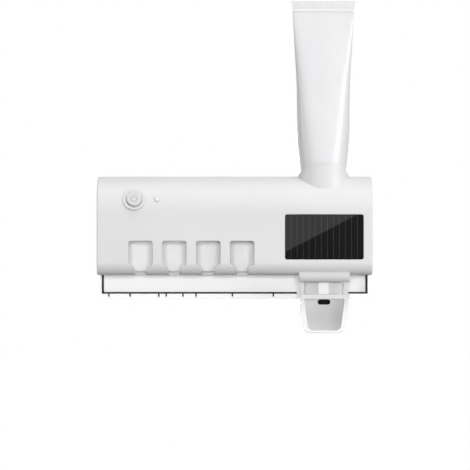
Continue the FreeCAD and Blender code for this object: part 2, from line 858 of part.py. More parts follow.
def add_shroud(body):
    """A half-round hood under the chin that carries the lever's pin, and the bay behind it."""
    bar = circles(body, "shroud", "YZ", ("hinge_y", "hinge_z", "shroud_radius"), away="dispenser_x")
    pad(body, "shroud_pad", bar, "2 * shroud_half", symmetric=True)
    middle, half = number("dispenser_x"), number("shroud_half")
    drum = number("shroud_radius")
    axle_y, axle_z = number("hinge_y"), number("hinge_z")

    def on_end(p):
        return near(abs(p.x - middle), half) and near(math.hypot(p.y - axle_y, p.z - axle_z), drum)

    fillet(body, "shroud_rounds", "shroud_round", lambda edge: touches(edge, on_end))
    cavity = circles(body, "hinge_cavity", "YZ", ("hinge_y", "hinge_z", "hinge_cavity"), away="dispenser_x")
    pocket(body, "hinge_cavity_cut", cavity, "2 * cavity_half", symmetric=True)
    opening = outline(
        body, "bay_opening", "YZ",
        rectangle(
            "hinge_y", "hinge_z - shroud_radius - cut_over",
            "-plate_setback - fit_gap - 2 * wall", "cover_bottom + wall + cut_over",
        ),
        away="dispenser_x",
    )
    pocket(body, "bay_opening_cut", opening, "2 * cavity_half", symmetric=True)
    bores = circles(
        body, "pin_bore", "YZ", ("hinge_y", "hinge_z", "pin_radius + pin_gap"),
        away="dispenser_x",
    )
    pocket(body, "pin_bore_cut", bores, "2 * (shroud_half + cut_over)", symmetric=True)


def add_brush_slots(body):
    """Square windows with round shoulders down to a neck slot that opens at the chin."""
    half, neck = "slot_width / 2", "neck_slot_width / 2"
    sill = "slot_top - slot_height"
    foot = "cover_bottom - cut_over"
    x = "slot_first_x"
    loop = [
        (f"{x} - {half}", "slot_top", "slot_round"),
        (f"{x} - {half}", sill, "slot_round"),
        (f"{x} - {neck}", sill, "slot_shoulder"),
        (f"{x} - {neck}", foot),
        (f"{x} + {neck}", foot),
        (f"{x} + {neck}", sill, "slot_shoulder"),
        (f"{x} + {half}", sill, "slot_round"),
        (f"{x} + {half}", "slot_top", "slot_round"),
    ]
    sketch = outline(body, "brush_slot", "XZ", loop, away="body_depth + cut_over")
    slot = pocket(body, "brush_slot_cut", sketch, "neck_slot_depth + cut_over")
    pattern = body.newObject("PartDesign::LinearPattern", "brush_slots")
    pattern.Originals = [slot]
    pattern.Direction = (sketch, ["H_Axis"])
    bind(pattern, Occurrences="slot_count", Length="slot_last_x - slot_first_x")
    body.Tip = pattern
    doc.recompute()
    low_x = number("slot_first_x - slot_width")
    high_x = number("slot_last_x + slot_width")
    front, top = -number("body_depth"), number("slot_top")
    chin_top = number("cover_bottom + chin_radius")

    def on_flat(p):
        return low_x < p.x < high_x and chin_top - 1e-4 < p.z < top + 1e-4 and near(p.y, front)

    def at_seam(p):
        return near(p.z, chin_top)

    fillet(
        body, "slot_edges", "slot_edge_round",
        lambda edge: touches(edge, on_flat) and not touches(edge, at_seam),
    )


def add_button_holes(body):
    for name, x, radius in (
        ("bezel_hole", "button_x", "bezel_radius + fit_gap / 2"),
        ("indicator_hole", "indicator_x", "indicator_radius + fit_gap / 2"),
    ):
        sketch = circles(body, name, "XY", ("0", "0", radius))
        on_crown(sketch, x, "cut_over", prefix="AttachmentOffset")
        pocket(body, f"{name}_cut", sketch, "board_depth")
    for i, sign in enumerate("-+"):
        spot = f"board_x {sign} board_post_x"
        post = circles(body, f"board_post_{i}", "XY", ("0", "0", "board_post_radius"))
        on_crown(post, spot, "board_front", prefix="AttachmentOffset")
        pad(body, f"board_post_{i}_pad", post, "board_depth - wall / 2")
        pilot = circles(body, f"board_pilot_{i}", "XY", ("0", "0", "small_screw_radius + fit_gap / 2"))
        on_crown(pilot, spot, "(board_front - cut_over)", prefix="AttachmentOffset")
        pocket(body, f"board_pilot_{i}_cut", pilot, "small_screw_length + cut_over", flip=True)


def add_solar_recess(body):
    wide, tall = "(solar_width / 2 + fit_gap)", "(solar_height / 2 + fit_gap)"
    recess = outline(
        body, "solar_recess", "XZ",
        rectangle(
            f"dispenser_x - {wide}", f"solar_z - {tall}",
            f"dispenser_x + {wide}", f"solar_z + {tall}", "solar_round + fit_gap",
        ),
        away="body_depth + cut_over",
    )
    pocket(body, "solar_recess_cut", recess, "solar_recess + cut_over")
    leads = circles(
        body, "solar_lead_hole", "XZ", ("dispenser_x", "solar_z", "lead_hole"),
        away="body_depth",
    )
    pocket(body, "solar_lead_hole_cut", leads, "wall + cut_over")


def add_charge_opening(body):
    """A mouth for the charging socket in the left end, with a shelf for its board."""
    half = "(charge_width / 2 + fit_gap)"
    mouth = outline(
        body, "charge_mouth", "YZ",
        rectangle(
            f"charge_y - {half}", "charge_z - fit_gap",
            f"charge_y + {half}", "charge_z + charge_height + fit_gap", f"{PILL_SHARE} * charge_height",
        ),
        away="-body_width / 2 - cut_over",
    )
    pocket(body, "charge_mouth_cut", mouth, "wall + 2 * cut_over", flip=True)
    shelf = outline(
        body, "charge_shelf", "YZ",
        rectangle(
            "charge_y - charge_board_width / 2", "charge_z - charge_board_thick - charge_shelf",
            "charge_y + charge_board_width / 2", "charge_z - charge_board_thick",
        ),
        away="-inner_half - wall / 2",
    )
    pad(body, "charge_shelf_pad", shelf, "charge_board_length + wall / 2")


# Power button: bezel, cap with its stem, and the light pipe of the indicator.
def make_button():
    bezel = spin(
        "button_bezel",
        ("button_radius + run_gap", "-bezel_depth"),
        ("bezel_radius", "-bezel_depth"),
        ("bezel_radius", "bezel_proud", "bezel_land / 2"),
        ("bezel_radius - bezel_land", "bezel_proud", "bezel_land / 2"),
        ("button_radius + run_gap", "bezel_proud - bezel_dish"),
    )
    keep(on_crown(bezel, "button_x", "0"), "button_bezel")
    under = "(bezel_depth + run_gap)"
    cap = spin(
        "power_button",
        ("0", "button_proud"),
        ("button_radius", "button_proud", "button_edge_round"),
        ("button_radius", f"-{under}"),
        ("button_radius + button_flange", f"-{under}"),
        ("button_radius + button_flange", f"-{under} - button_flange_thick"),
        ("button_radius - wall / 2", f"-{under} - button_flange_thick"),
        ("button_radius - wall / 2", "button_proud - wall"),
        ("button_stem_radius", "button_proud - wall"),
        ("button_stem_radius", f"-{under}"),
        ("0", f"-{under}"),
    )
    keep(on_crown(cap, "button_x", "0"), "power_button")
    tip = "-(board_depth - led_height - run_gap)"
    lens = spin(
        "indicator_lens",
        ("0", tip),
        ("indicator_radius", tip),
        ("indicator_radius", "indicator_proud", "indicator_proud"),
        ("0", "indicator_proud"),
    )
    keep(on_crown(lens, "indicator_x", "0"), "indicator_lens")


# Control board: the plate, its switch with a moving plunger, the status lamp and two screws.
def make_control_board():
    plate = box(
        "control_plate", "-board_width / 2", "-board_height / 2", "-board_thick",
        "board_width", "board_height", "board_thick",
    )
    holes = fuse(
        "control_holes",
        *[
            rod(f"control_hole_{i}", "small_screw_radius + fit_gap", "board_thick + 2 * cut_over",
                f"{s}board_post_x", "0", "-board_thick - cut_over")
            for i, s in enumerate(("-", ""))
        ],
    )
    board = cut("control_board", plate, holes)
    keep(on_crown(board, "board_x", "board_front"), "control_board")
    under = "(bezel_depth + run_gap)"
    sink = "plunger_sink + button_travel + run_gap"
    case = box(
        "switch_case", "-switch_side / 2", "-switch_side / 2", "0",
        "switch_side", "switch_side", "switch_height",
    )
    well = rod(
        "switch_well", "plunger_radius + fit_gap", f"{sink} + cut_over",
        "0", "0", f"switch_height - ({sink})",
    )
    keep(on_crown(cut("tact_switch", case, well), "button_x", "board_front"), "tact_switch")
    stub = rod(
        "plunger", "plunger_radius", f"board_depth - {under} - switch_height + plunger_sink",
        "0", "0", "switch_height - plunger_sink",
    )
    keep(on_crown(group("switch_plunger", [stub]), "button_x", "board_front"), "switch_plunger")
    led = box("status_chip", "-led_side / 2", "-led_side / 2", "0", "led_side", "led_side", "led_height")
    keep(on_crown(group("status_led", [led]), "indicator_x", "board_front"), "status_led")
    screws = []
    for i, sign in enumerate("-+"):
        one = screw(
            f"board_screw_{i}", "small_screw_radius", "small_screw_length",
            "small_head_radius", "small_head_height",
        )
        screws.append(on_crown(one, f"board_x {sign} board_post_x", "(board_front - board_thick)"))
    keep(group("board_screw_set", screws), "board_screws")


# Solar panel: a dark plate let into the flat of the cover.
def make_solar_panel():
    body = new_body("solar_panel")
    face = outline(
        body, "solar_face", "XZ",
        rectangle(
            "dispenser_x - solar_width / 2", "solar_z - solar_height / 2",
            "dispenser_x + solar_width / 2", "solar_z + solar_height / 2", "solar_round",
        ),
        away="body_depth - solar_recess",
    )
    pad(body, "solar_plate", face, "solar_thick")
    keep(body, "solar_panel")


# Chamber liner: a bent sheet with end plates behind the slots, and the lamps under its roof.
def make_chamber():
    body = new_body("chamber_liner")
    front = "-body_depth + wall + fit_gap"
    foot = "cover_bottom + liner_foot"
    sheet_bend = outline(
        body, "liner_bend", "YZ",
        [
            (front, "liner_top"),
            (front, "liner_top - liner_thick"),
            ("-liner_back - liner_thick", "liner_top - liner_thick", "liner_bend"),
            ("-liner_back - liner_thick", foot),
            ("-liner_back", foot),
            ("-liner_back", "liner_top", "liner_bend + liner_thick"),
        ],
        away="liner_left",
    )
    pad(body, "liner_bend_pad", sheet_bend, "liner_right - liner_left")
    for name, away in (("left", "liner_left"), ("right", "liner_right - liner_thick")):
        cheek = outline(
            body, f"liner_{name}", "YZ",
            [
                (front, "liner_top - liner_thick / 2"),
                (front, foot, "chin_radius - wall"),
                ("-liner_back - liner_thick / 2", foot),
                ("-liner_back - liner_thick / 2", "liner_top - liner_thick / 2", "liner_bend"),
            ],
            away=away,
        )
        pad(body, f"liner_{name}_pad", cheek, "liner_thick")
    keep(body, "chamber_liner")

    roof = "liner_top - liner_thick"
    board = box(
        "lamp_plate", "slot_first_x - lamp_board_over", "lamp_board_y - lamp_board_width / 2",
        f"{roof} - lamp_board_thick",
        "slot_last_x - slot_first_x + 2 * lamp_board_over", "lamp_board_width", "lamp_board_thick",
    )
    keep(board, "uv_board")
    lamps = []
    for i in range(int(number("slot_count"))):
        dome = spin(
            f"uv_lamp_{i}",
            ("0", "0"),
            ("0", "-lamp_height"),
            ("lamp_radius", "-lamp_height", "lamp_dome"),
            ("lamp_radius", "0"),
        )
        locate(dome, f"slot_first_x + {i} * slot_pitch", "lamp_board_y", f"{roof} - lamp_board_thick")
        lamps.append(dome)
    keep(group("uv_lamp_set", lamps), "uv_leds")


# Battery in its cradle on the back plate, and the charging socket at the left end.
def make_power():
    cell_y = "-(plate_setback + cradle_wall + cell_radius + fit_gap)"
    left = "cell_x - cell_length / 2"
    can = rod("cell_can", "cell_radius", "cell_length", left, cell_y, "cell_z", along="X")
    cap = rod(
        "cell_cap", "cell_cap_radius", "cell_cap_height",
        "cell_x + cell_length / 2", cell_y, "cell_z", along="X",
    )
    keep(fuse("battery", can, cap), "battery_cell")
    spare = "(cell_cap_height + fit_gap)"
    block = box(
        "cradle_block", f"{left} - cradle_wall - fit_gap",
        f"{cell_y} - cell_radius - fit_gap - cradle_wall", "cell_z - cell_radius - fit_gap - cradle_wall",
        f"cell_length + {spare} + fit_gap + 2 * cradle_wall",
        "2 * (cell_radius + fit_gap + cradle_wall)", "cell_radius + fit_gap + cradle_wall",
    )
    trough = rod(
        "cradle_trough", "cell_radius + fit_gap", f"cell_length + {spare} + fit_gap",
        f"{left} - fit_gap", cell_y, "cell_z", along="X",
    )
    keep(cut("cradle", block, trough), "battery_cradle")

    inside = "-inner_half + fit_gap"
    board = box(
        "charge_plate", inside, "charge_y - charge_board_width / 2", "charge_z - charge_board_thick",
        "charge_board_length - fit_gap", "charge_board_width", "charge_board_thick",
    )
    keep(board, "charge_board")
    shell = new_body("charge_socket")
    half = "charge_width / 2"
    skin = outline(
        shell, "socket_skin", "YZ",
        rectangle(
            f"charge_y - {half}", "charge_z", f"charge_y + {half}", "charge_z + charge_height",
            f"{PILL_SHARE} * charge_height",
        ),
        away="-body_width / 2 + charge_setback",
    )
    pad(shell, "socket_shell", skin, "charge_length")
    rim = "charge_rim"
    hole = outline(
        shell, "socket_mouth", "YZ",
        rectangle(
            f"charge_y - {half} + {rim}", f"charge_z + {rim}",
            f"charge_y + {half} - {rim}", f"charge_z + charge_height - {rim}",
            f"{PILL_SHARE} * (charge_height - 2 * {rim})",
        ),
        away="-body_width / 2 + charge_setback",
    )
    pocket(shell, "socket_mouth_cut", hole, "charge_length - charge_setback", flip=True)
    tongue = outline(
        shell, "socket_tongue", "YZ",
        rectangle(
            f"charge_y - {half} / 2", f"charge_z + charge_height / 2 - {rim}",
            f"charge_y + {half} / 2", f"charge_z + charge_height / 2 + {rim}",
        ),
        away="-body_width / 2 + 2 * charge_setback",
    )
    pad(shell, "socket_tongue_pad", tongue, "charge_length - 2 * charge_setback")
    keep(shell, "charge_socket")


# Screws that draw the cover onto the rear housing, from behind.
def make_cover_screws():
    screws = []
    for i, (x, z) in enumerate(
        (f"{s}post_x", height) for s in ("-", "") for height in ("upper_post_z", "lower_post_z")
    ):
        one = screw(
            f"cover_screw_{i}", "screw_radius", "screw_length",
            "screw_head_radius", "screw_head_height",
        )
        turn(one, X_AXIS, "90")
        screws.append(locate(one, x, "-plate_back", z))
    keep(group("cover_screw_set", screws), "cover_screws")


# Toothpaste tube: the soft sleeve with its crimp, and the stiff shoulder with its nozzle.
def make_tube():
    body = new_body("tube_sleeve")
    barrel = circles(body, "sleeve_round", "XY", ("0", "0", "tube_radius"), away="tube_bottom")
    pad(body, "sleeve_barrel", barrel, "tube_straight")
    start = circles(
        body, "taper_start", "XY", ("0", "0", "tube_radius"),
        away="tube_bottom + tube_straight",
    )
    flat = new_sketch(body, "taper_end", "XY", "tube_bottom + tube_straight + tube_taper")
    wide, thin = number("tube_flat_width / 2"), number("tube_flat_thick / 2")
    ellipse = flat.addGeometry(Part.Ellipse(Vector(), wide, thin))
    flat.exposeInternalGeometry(ellipse)
    flat.addConstraint(Sketcher.Constraint("Coincident", ellipse, 3, -1, 1))
    fix_point(flat, ellipse + 1, 1, "tube_flat_width / 2", "0")
    at = flat.addConstraint(Sketcher.Constraint("DistanceY", -1, 1, ellipse + 2, 1, thin))
    flat.renameConstraint(at, "flat_half")
    flat.setExpression("Constraints.flat_half", formula("tube_flat_thick / 2"))
    loft = body.newObject("PartDesign::AdditiveLoft", "sleeve_taper")
    loft.Profile = start
    loft.Sections = [flat]
    loft.Ruled = True
    doc.recompute()
    crimp = outline(
        body, "crimp", "XY",
        rectangle(
            "-tube_flat_width / 2", "-tube_flat_thick / 2", "tube_flat_width / 2", "tube_flat_thick / 2",
        ),
        away="tube_bottom + tube_straight + tube_taper",
    )
    pad(body, "crimp_pad", crimp, "crimp_height")
    keep(locate(body, "dispenser_x", "tube_y", "0"), "tube_sleeve")
    shoulder = spin(
        "tube_shoulder",
        ("nozzle_bore", "nozzle_tip"),
        ("nozzle_radius", "nozzle_tip"),
        ("nozzle_radius", "nozzle_top"),
        ("tube_radius", "tube_bottom"),
        ("nozzle_bore", "tube_bottom"),
    )
    keep(locate(shoulder, "dispenser_x", "tube_y", "0"), "tube_shoulder")


# Tube socket under the collar, with the seal round the nozzle and the inlet valve.
def make_socket():
    outer = "seal_bore_radius + socket_wall"
    rim = "collar_radius - socket_inset"
    socket = spin(
        "tube_socket",
        ("collar_bore", "socket_top"),
        (rim, "socket_top"),
        (rim, "socket_top - socket_rim"),
        (outer, f"socket_top - socket_rim - ({rim} - ({outer})) * cone_drop"),
        (outer, "socket_bottom"),
        ("seal_bore_radius", "socket_bottom"),
        ("seal_bore_radius", "bore_mouth"),
    )
    keep(locate(socket, "dispenser_x", "tube_y", "0"), "tube_socket")
    inner, edge = "nozzle_radius + seal_gap", "seal_bore_radius - fit_gap / 2"
    deep = f"{inner} + seal_groove"
    base, head = "valve_top + fit_gap", "nozzle_top - run_gap"
    mid_low, mid_high = f"({base} + {head}) / 2 - seal_lip / 2", f"({base} + {head}) / 2 + seal_lip / 2"
    seal = spin(
        "inlet_seal",
        (inner, base), (edge, base), (edge, head), (inner, head),
        (inner, f"{head} - seal_lip"), (deep, f"{head} - seal_lip"),
        (deep, mid_high), (inner, mid_high), (inner, mid_low), (deep, mid_low),
        (deep, f"{base} + seal_lip"), (inner, f"{base} + seal_lip"),
    )
    keep(locate(seal, "dispenser_x", "tube_y", "0"), "inlet_seal")
    tip = "valve_bottom - valve_cone_length"
    duckbill = spin(
        "inlet_duckbill",
        ("0", tip),
        ("valve_tip_radius", tip),
        ("valve_cone_radius", "valve_bottom"),
        (edge, "valve_bottom"),
        (edge, "valve_top"),
        ("valve_cone_radius - valve_skin", "valve_top"),
        ("0", f"{tip} + valve_skin"),
    )
    locate(duckbill, "dispenser_x", "tube_y", "0")
    slit = box(
        "inlet_slit", "dispenser_x - valve_slit_length / 2", "tube_y - valve_slit / 2",
        f"{tip} - cut_over", "valve_slit_length", "valve_slit", "cut_over + 2 * valve_skin",
    )
    keep(cut("inlet_flap", duckbill, slit), "inlet_valve")


# Pump: the cylinder with its ears, the rod bush, the piston with its crosshead, seal and spring.
def make_pump():
    turned = spin(
        "cylinder_barrel",
        ("bore_radius", "cylinder_bottom"),
        ("cylinder_radius", "cylinder_bottom"),
        ("cylinder_radius", "socket_bottom - cylinder_flange"),
        ("cylinder_flange_radius", "socket_bottom - cylinder_flange"),
        ("cylinder_flange_radius", "socket_bottom"),
        ("bore_radius", "socket_bottom"),
    )
    locate(turned, "dispenser_x", "tube_y", "0")
    ears = box(
        "cylinder_ears", "dispenser_x - pump_post_spread - pump_post_radius",
        "tube_y - pump_ear_thick / 2", "port_z - pump_post_radius",
        "2 * (pump_post_spread + pump_post_radius)", "pump_ear_thick", "2 * pump_post_radius",
    )
    hollow = rod(
        "cylinder_hollow", "bore_radius", "cylinder_length + 2 * cut_over",
        "dispenser_x", "tube_y", "cylinder_bottom - cut_over",
    )
    port = rod(
        "outlet_port", "port_radius", "cylinder_radius + cut_over",
        "dispenser_x", "tube_y", "port_z", along="-Y",
    )
    holes = [
        rod(
            f"ear_hole_{i}", "small_screw_radius + fit_gap", "pump_ear_thick + 2 * cut_over",
            f"dispenser_x {s} pump_post_spread", "tube_y + pump_ear_thick / 2 + cut_over", "port_z",
            along="-Y",
        )
        for i, s in enumerate("+-")
    ]
    block = fuse("cylinder_block", turned, ears)
    keep(cut("cylinder", block, fuse("cylinder_holes", hollow, port, *holes)), "pump_cylinder")
    screws = []
    for i, sign in enumerate("+-"):
        one = screw(
            f"pump_screw_{i}", "small_screw_radius", "small_screw_length",
            "small_head_radius", "small_head_height",
        )
        turn(one, X_AXIS, "-90")
        spot = f"dispenser_x {sign} pump_post_spread"
        screws.append(locate(one, spot, "tube_y - pump_ear_thick / 2", "port_z"))
    keep(group("pump_screw_set", screws), "pump_screws")

    bush = spin(
        "rod_bush",
        ("rod_radius + seal_gap", "bush_bottom"),
        ("cylinder_radius - fit_gap / 2", "bush_bottom"),
        ("cylinder_radius - fit_gap / 2", "cylinder_bottom"),
        ("bore_radius - fit_gap / 2", "cylinder_bottom"),
        ("bore_radius - fit_gap / 2", "cylinder_bottom + bush_depth"),
        ("rod_radius + seal_gap", "cylinder_bottom + bush_depth"),
    )
    keep(locate(bush, "dispenser_x", "tube_y", "0"), "rod_bush")

    head = "bore_radius - run_gap"
    waist = f"{head} - piston_groove"
    groove_top = "piston_top - (piston_length - piston_groove_height) / 2"
    groove_low = f"{groove_top} - piston_groove_height"
    plunger = spin(
        "piston_turned",
        ("0", "crosshead_bottom"), ("rod_radius", "crosshead_bottom"), ("rod_radius", "piston_low"),
        (head, "piston_low"), (head, groove_low), (waist, groove_low), (waist, groove_top),
        (head, groove_top), (head, "piston_top"), ("0", "piston_top"),
    )
    locate(plunger, "dispenser_x", "tube_y", "0")
    bar = box(
        "crosshead", "dispenser_x - ear_out", "tube_y - crosshead_depth / 2", "crosshead_bottom",
        "2 * ear_out", "crosshead_depth", "crosshead_height",
    )
    keep(fuse("piston_whole", plunger, bar), "piston")
    slack = "seal_run_gap"
    ring = spin(
        "piston_ring",
        (f"{waist} + {slack}", f"{groove_low} + {slack}"),
        (f"bore_radius - {slack}", f"{groove_low} + {slack}"),
        (f"bore_radius - {slack}", f"{groove_top} - {slack}"),
        (f"{waist} + {slack}", f"{groove_top} - {slack}"),
    )
    keep(locate(ring, "dispenser_x", "tube_y", "0"), "piston_seal")
    make_return_spring()


def make_return_spring():
    """Wire turns between the bush and the crosshead."""
    low = "crosshead_top + spring_end_gap + spring_wire / 2"
    rise = "(bush_bottom - crosshead_top - 2 * spring_end_gap - spring_wire)"
    helix = doc.addObject("Part::Helix", "spring_line")
    bind(helix, Radius="spring_radius", Height=rise, Pitch=f"{rise} / spring_turns")
    locate(helix, "dispenser_x", "tube_y", low)
    section = doc.addObject("Part::RegularPolygon", "spring_section")
    section.Polygon = SPRING_SIDES
    bind(turn(section, X_AXIS, "90"), Circumradius="spring_wire / 2")
    locate(section, "dispenser_x + spring_radius", "tube_y", low)
    coil = doc.addObject("Part::Sweep", "spring_coil")
    coil.Sections = [section]
    coil.Spine = (helix, [])
    coil.Solid = True
    coil.Frenet = True
    keep(coil, "return_spring")


# Outlet: a stepped duct down from the pump, a guard plate, and the dark silicone mouth.
def make_outlet():
    body = new_body("outlet_block")
    top = "port_z + port_radius + fit_gap + duct_wall"
    bend = "bush_bottom - fit_gap"
    foot = "outlet_z - outlet_boss_height / 2"
    path = [
        ("-upper_duct_front", top),
        ("-upper_duct_back", top),
        ("-upper_duct_back", bend),
        ("-duct_back", f"{bend} - duct_bend"),
        ("-duct_back", foot),
        ("-duct_front", foot),
        ("-duct_front", f"{bend} - duct_bend - duct_wall"),
        ("-upper_duct_front", f"{bend} - duct_wall"),
    ]
    duct = outline(body, "duct", "YZ", path, away="dispenser_x")
    pad(body, "duct_pad", duct, "duct_width", symmetric=True)
    boss = outline(
        body, "outlet_boss", "XZ",
        rectangle(
            "dispenser_x - outlet_boss_width / 2", foot,
            "dispenser_x + outlet_boss_width / 2", "outlet_z + outlet_boss_height / 2", "duct_wall",
        ),
        away="duct_back",
    )
    pad(body, "outlet_boss_pad", boss, "duct_depth")
    guard = outline(
        body, "guard", "XZ",
        rectangle(
            "dispenser_x - guard_half", foot, "dispenser_x + guard_half", "hinge_z", "duct_wall",
        ),
        away="duct_back",
    )
    pad(body, "guard_pad", guard, "guard_thick")
    seat = outline(
        body, "outlet_seat", "XZ", pill("outlet_width", "outlet_height", "fit_gap / 2"),
        away="duct_front + cut_over",
    )
    pocket(body, "outlet_seat_cut", seat, "outlet_sink + cut_over")
    bore = [
        ("-upper_duct_front + duct_wall", f"{top} - duct_wall"),
        ("-upper_duct_back - duct_wall", f"{top} - duct_wall"),
        ("-upper_duct_back - duct_wall", f"{bend} - duct_wall / 2"),
        ("-duct_back - duct_wall", f"{bend} - duct_bend - duct_wall / 2"),
        ("-duct_back - duct_wall", "outlet_z - port_radius"),
        ("-duct_front + outlet_sink - duct_wall / 2", "outlet_z - port_radius"),
        ("-duct_front + duct_wall", f"{bend} - duct_bend - duct_wall"),
        ("-upper_duct_front + duct_wall", f"{bend} - duct_wall"),
    ]
    channel = outline(body, "duct_bore", "YZ", bore, away="dispenser_x")
    pocket(body, "duct_bore_cut", channel, "duct_width - 2 * duct_wall", symmetric=True)
    entry = circles(
        body, "duct_entry", "XZ", ("dispenser_x", "port_z", "port_radius"),
        away="upper_duct_back + 2 * duct_wall",
    )
    pocket(body, "duct_entry_cut", entry, "2 * duct_wall + cut_over")
    keep(body, "outlet_block")

    mouth = new_body("outlet_valve")
    lips = outline(
        mouth, "mouth", "XZ", pill("outlet_width", "outlet_height", "0"),
        away="duct_front - outlet_sink",
    )
    pad(mouth, "mouth_pad", lips, "outlet_sink + outlet_proud")
    slit = outline(
        mouth, "mouth_slit", "XZ",
        rectangle(
            "dispenser_x - outlet_width / 2 + outlet_sink", "outlet_z - outlet_slit / 2",
            "dispenser_x + outlet_width / 2 - outlet_sink", "outlet_z + outlet_slit / 2",
        ),
        away="duct_front + outlet_proud + cut_over",
    )
    pocket(mouth, "mouth_slit_cut", slit, "outlet_proud + cut_over + outlet_sink / 2")
    keep(mouth, "outlet_valve")


def pill(width, height, grow, z="outlet_z"):
    half, tall = f"({width} / 2 + {grow})", f"({height} / 2 + {grow})"
    return rectangle(
        f"dispenser_x - {half}", f"{z} - {tall}", f"dispenser_x + {half}", f"{z} + {tall}",
        f"2 * {PILL_SHARE} * {tall}",
    )


# Push lever: two hinge ears with cranks behind them, and a scoop that takes the brush.
def make_lever():
    body = new_body("push_lever")
    front = "(scoop_back + scoop_depth)"
    shape = [
        ("dispenser_x - scoop_half", "scoop_top", "rim_round"),
        ("dispenser_x - scoop_half", "scoop_waist", "scoop_corner"),
        ("dispenser_x - scoop_foot_half", "scoop_bottom", "scoop_corner"),
        ("dispenser_x + scoop_foot_half", "scoop_bottom", "scoop_corner"),
        ("dispenser_x + scoop_half", "scoop_waist", "scoop_corner"),
        ("dispenser_x + scoop_half", "scoop_top", "rim_round"),
    ]
    scoop = outline(body, "scoop", "XZ", shape, away="scoop_back")
    pad(body, "scoop_pad", scoop, "scoop_depth")
    mouth = "(scoop_half - recess_side_rim)"
    hollow = [
        (f"dispenser_x - {mouth}", "scoop_top - recess_top_rim", "recess_round"),
        ("dispenser_x - recess_foot_half", "scoop_bottom + recess_bottom_rim", "recess_corner"),
        ("dispenser_x + recess_foot_half", "scoop_bottom + recess_bottom_rim", "recess_corner"),
        (f"dispenser_x + {mouth}", "scoop_top - recess_top_rim", "recess_round"),
    ]
    recess = outline(body, "recess", "XZ", hollow, away=f"{front} + cut_over")
    pocket(body, "recess_cut", recess, "scoop_depth - scoop_floor + cut_over")
    face = -number(front)
    fillet(body, "scoop_rim", "rim_round", lambda edge: touches(edge, lambda p: near(p.y, face)))
    window = outline(
        body, "window", "XZ", pill("window_width", "window_height", "0", z="window_z"),
        away=f"{front} + cut_over",
    )
    pocket(body, "window_cut", window, "scoop_depth + 2 * cut_over")
    for side, low in (("left", "dispenser_x - ear_out"), ("right", "dispenser_x + ear_in")):
        arm = outline(
            body, f"{side}_arm", "YZ",
            rectangle(
                "hinge_y + arm_front", "scoop_top - recess_top_rim / 2", "hinge_y + arm_back", "hinge_z",
            ),
            away=low,
        )
        pad(body, f"{side}_arm_pad", arm, "ear_width")
        ear = circles(body, f"{side}_ear", "YZ", ("hinge_y", "hinge_z", "ear_radius"), away=low)
        pad(body, f"{side}_ear_pad", ear, "ear_width")
        crank = outline(
            body, f"{side}_crank", "YZ",
            rectangle(
                "hinge_y", "hinge_z - crank_height / 2",
                "hinge_y + crank_reach", "hinge_z + crank_height / 2",
            ),
            away=low,
        )
        pad(body, f"{side}_crank_pad", crank, "ear_width")
        tip = circles(
            body, f"{side}_tip", "YZ", ("hinge_y + crank_reach", "hinge_z", "crank_tip_radius"),
            away=low,
        )
        pad(body, f"{side}_tip_pad", tip, "ear_width")
    bore = circles(
        body, "pin_hole", "YZ", ("hinge_y", "hinge_z", "pin_radius + pin_gap"),
        away="dispenser_x",
    )
    pocket(body, "pin_hole_cut", bore, "2 * shroud_half", symmetric=True)
    keep(body, "push_lever")
    pin = rod(
        "hinge_pin", "pin_radius", "2 * shroud_half",
        "dispenser_x - shroud_half", "hinge_y", "hinge_z", along="X",
    )
    keep(pin, "lever_pin")


def write_parts():
    """Checks every object and writes each sub-part to its own file."""
    doc.recompute()
    for thing in doc.Objects:
        if "Invalid" in thing.State or "Error" in thing.State:
            raise RuntimeError(f"{thing.Name} failed: {thing.State}")
    os.makedirs("parts", exist_ok=True)
    for thing in nodes:
        shape = thing.Shape
        if shape.isNull() or not shape.isValid() or not shape.Solids:
            raise RuntimeError(f"{thing.Label} has no valid solid")
        shape.exportStep(f"parts/{thing.Label}.step")
        print(f"{thing.Label}: {len(shape.Solids)} solid(s), {shape.Volume:.1f} mm3")


make_wall_plate()
make_rear_housing()
make_rest_strip()
make_front_cover()
make_button()
make_control_board()
make_solar_panel()
make_chamber()
make_power()
make_cover_screws()
make_tube()
make_socket()
make_pump()
make_outlet()
make_lever()
write_parts()
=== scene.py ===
import json
import math

import bmesh
import bpy
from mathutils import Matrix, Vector


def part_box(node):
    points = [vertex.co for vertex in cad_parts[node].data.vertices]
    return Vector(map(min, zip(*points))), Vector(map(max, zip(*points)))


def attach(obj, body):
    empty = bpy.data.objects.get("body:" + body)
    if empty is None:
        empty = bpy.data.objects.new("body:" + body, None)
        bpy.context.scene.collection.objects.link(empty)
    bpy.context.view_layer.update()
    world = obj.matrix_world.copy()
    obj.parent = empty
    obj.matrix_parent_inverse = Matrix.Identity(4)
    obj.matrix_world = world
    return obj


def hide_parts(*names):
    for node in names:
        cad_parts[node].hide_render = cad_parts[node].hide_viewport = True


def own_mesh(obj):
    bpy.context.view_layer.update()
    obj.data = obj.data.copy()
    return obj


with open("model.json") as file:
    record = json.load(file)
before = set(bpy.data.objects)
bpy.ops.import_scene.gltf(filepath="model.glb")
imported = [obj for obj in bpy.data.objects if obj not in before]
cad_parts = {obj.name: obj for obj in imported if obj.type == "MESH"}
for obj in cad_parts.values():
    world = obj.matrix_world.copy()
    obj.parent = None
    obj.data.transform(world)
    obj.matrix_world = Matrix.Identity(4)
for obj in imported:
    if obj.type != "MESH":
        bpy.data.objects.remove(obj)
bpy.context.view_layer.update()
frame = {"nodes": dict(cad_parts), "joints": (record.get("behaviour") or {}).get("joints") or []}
nodes = frame["nodes"]

MM = 0.001
EVEN = (1, 1, 1)
WHITE = (1, 1, 1, 1)

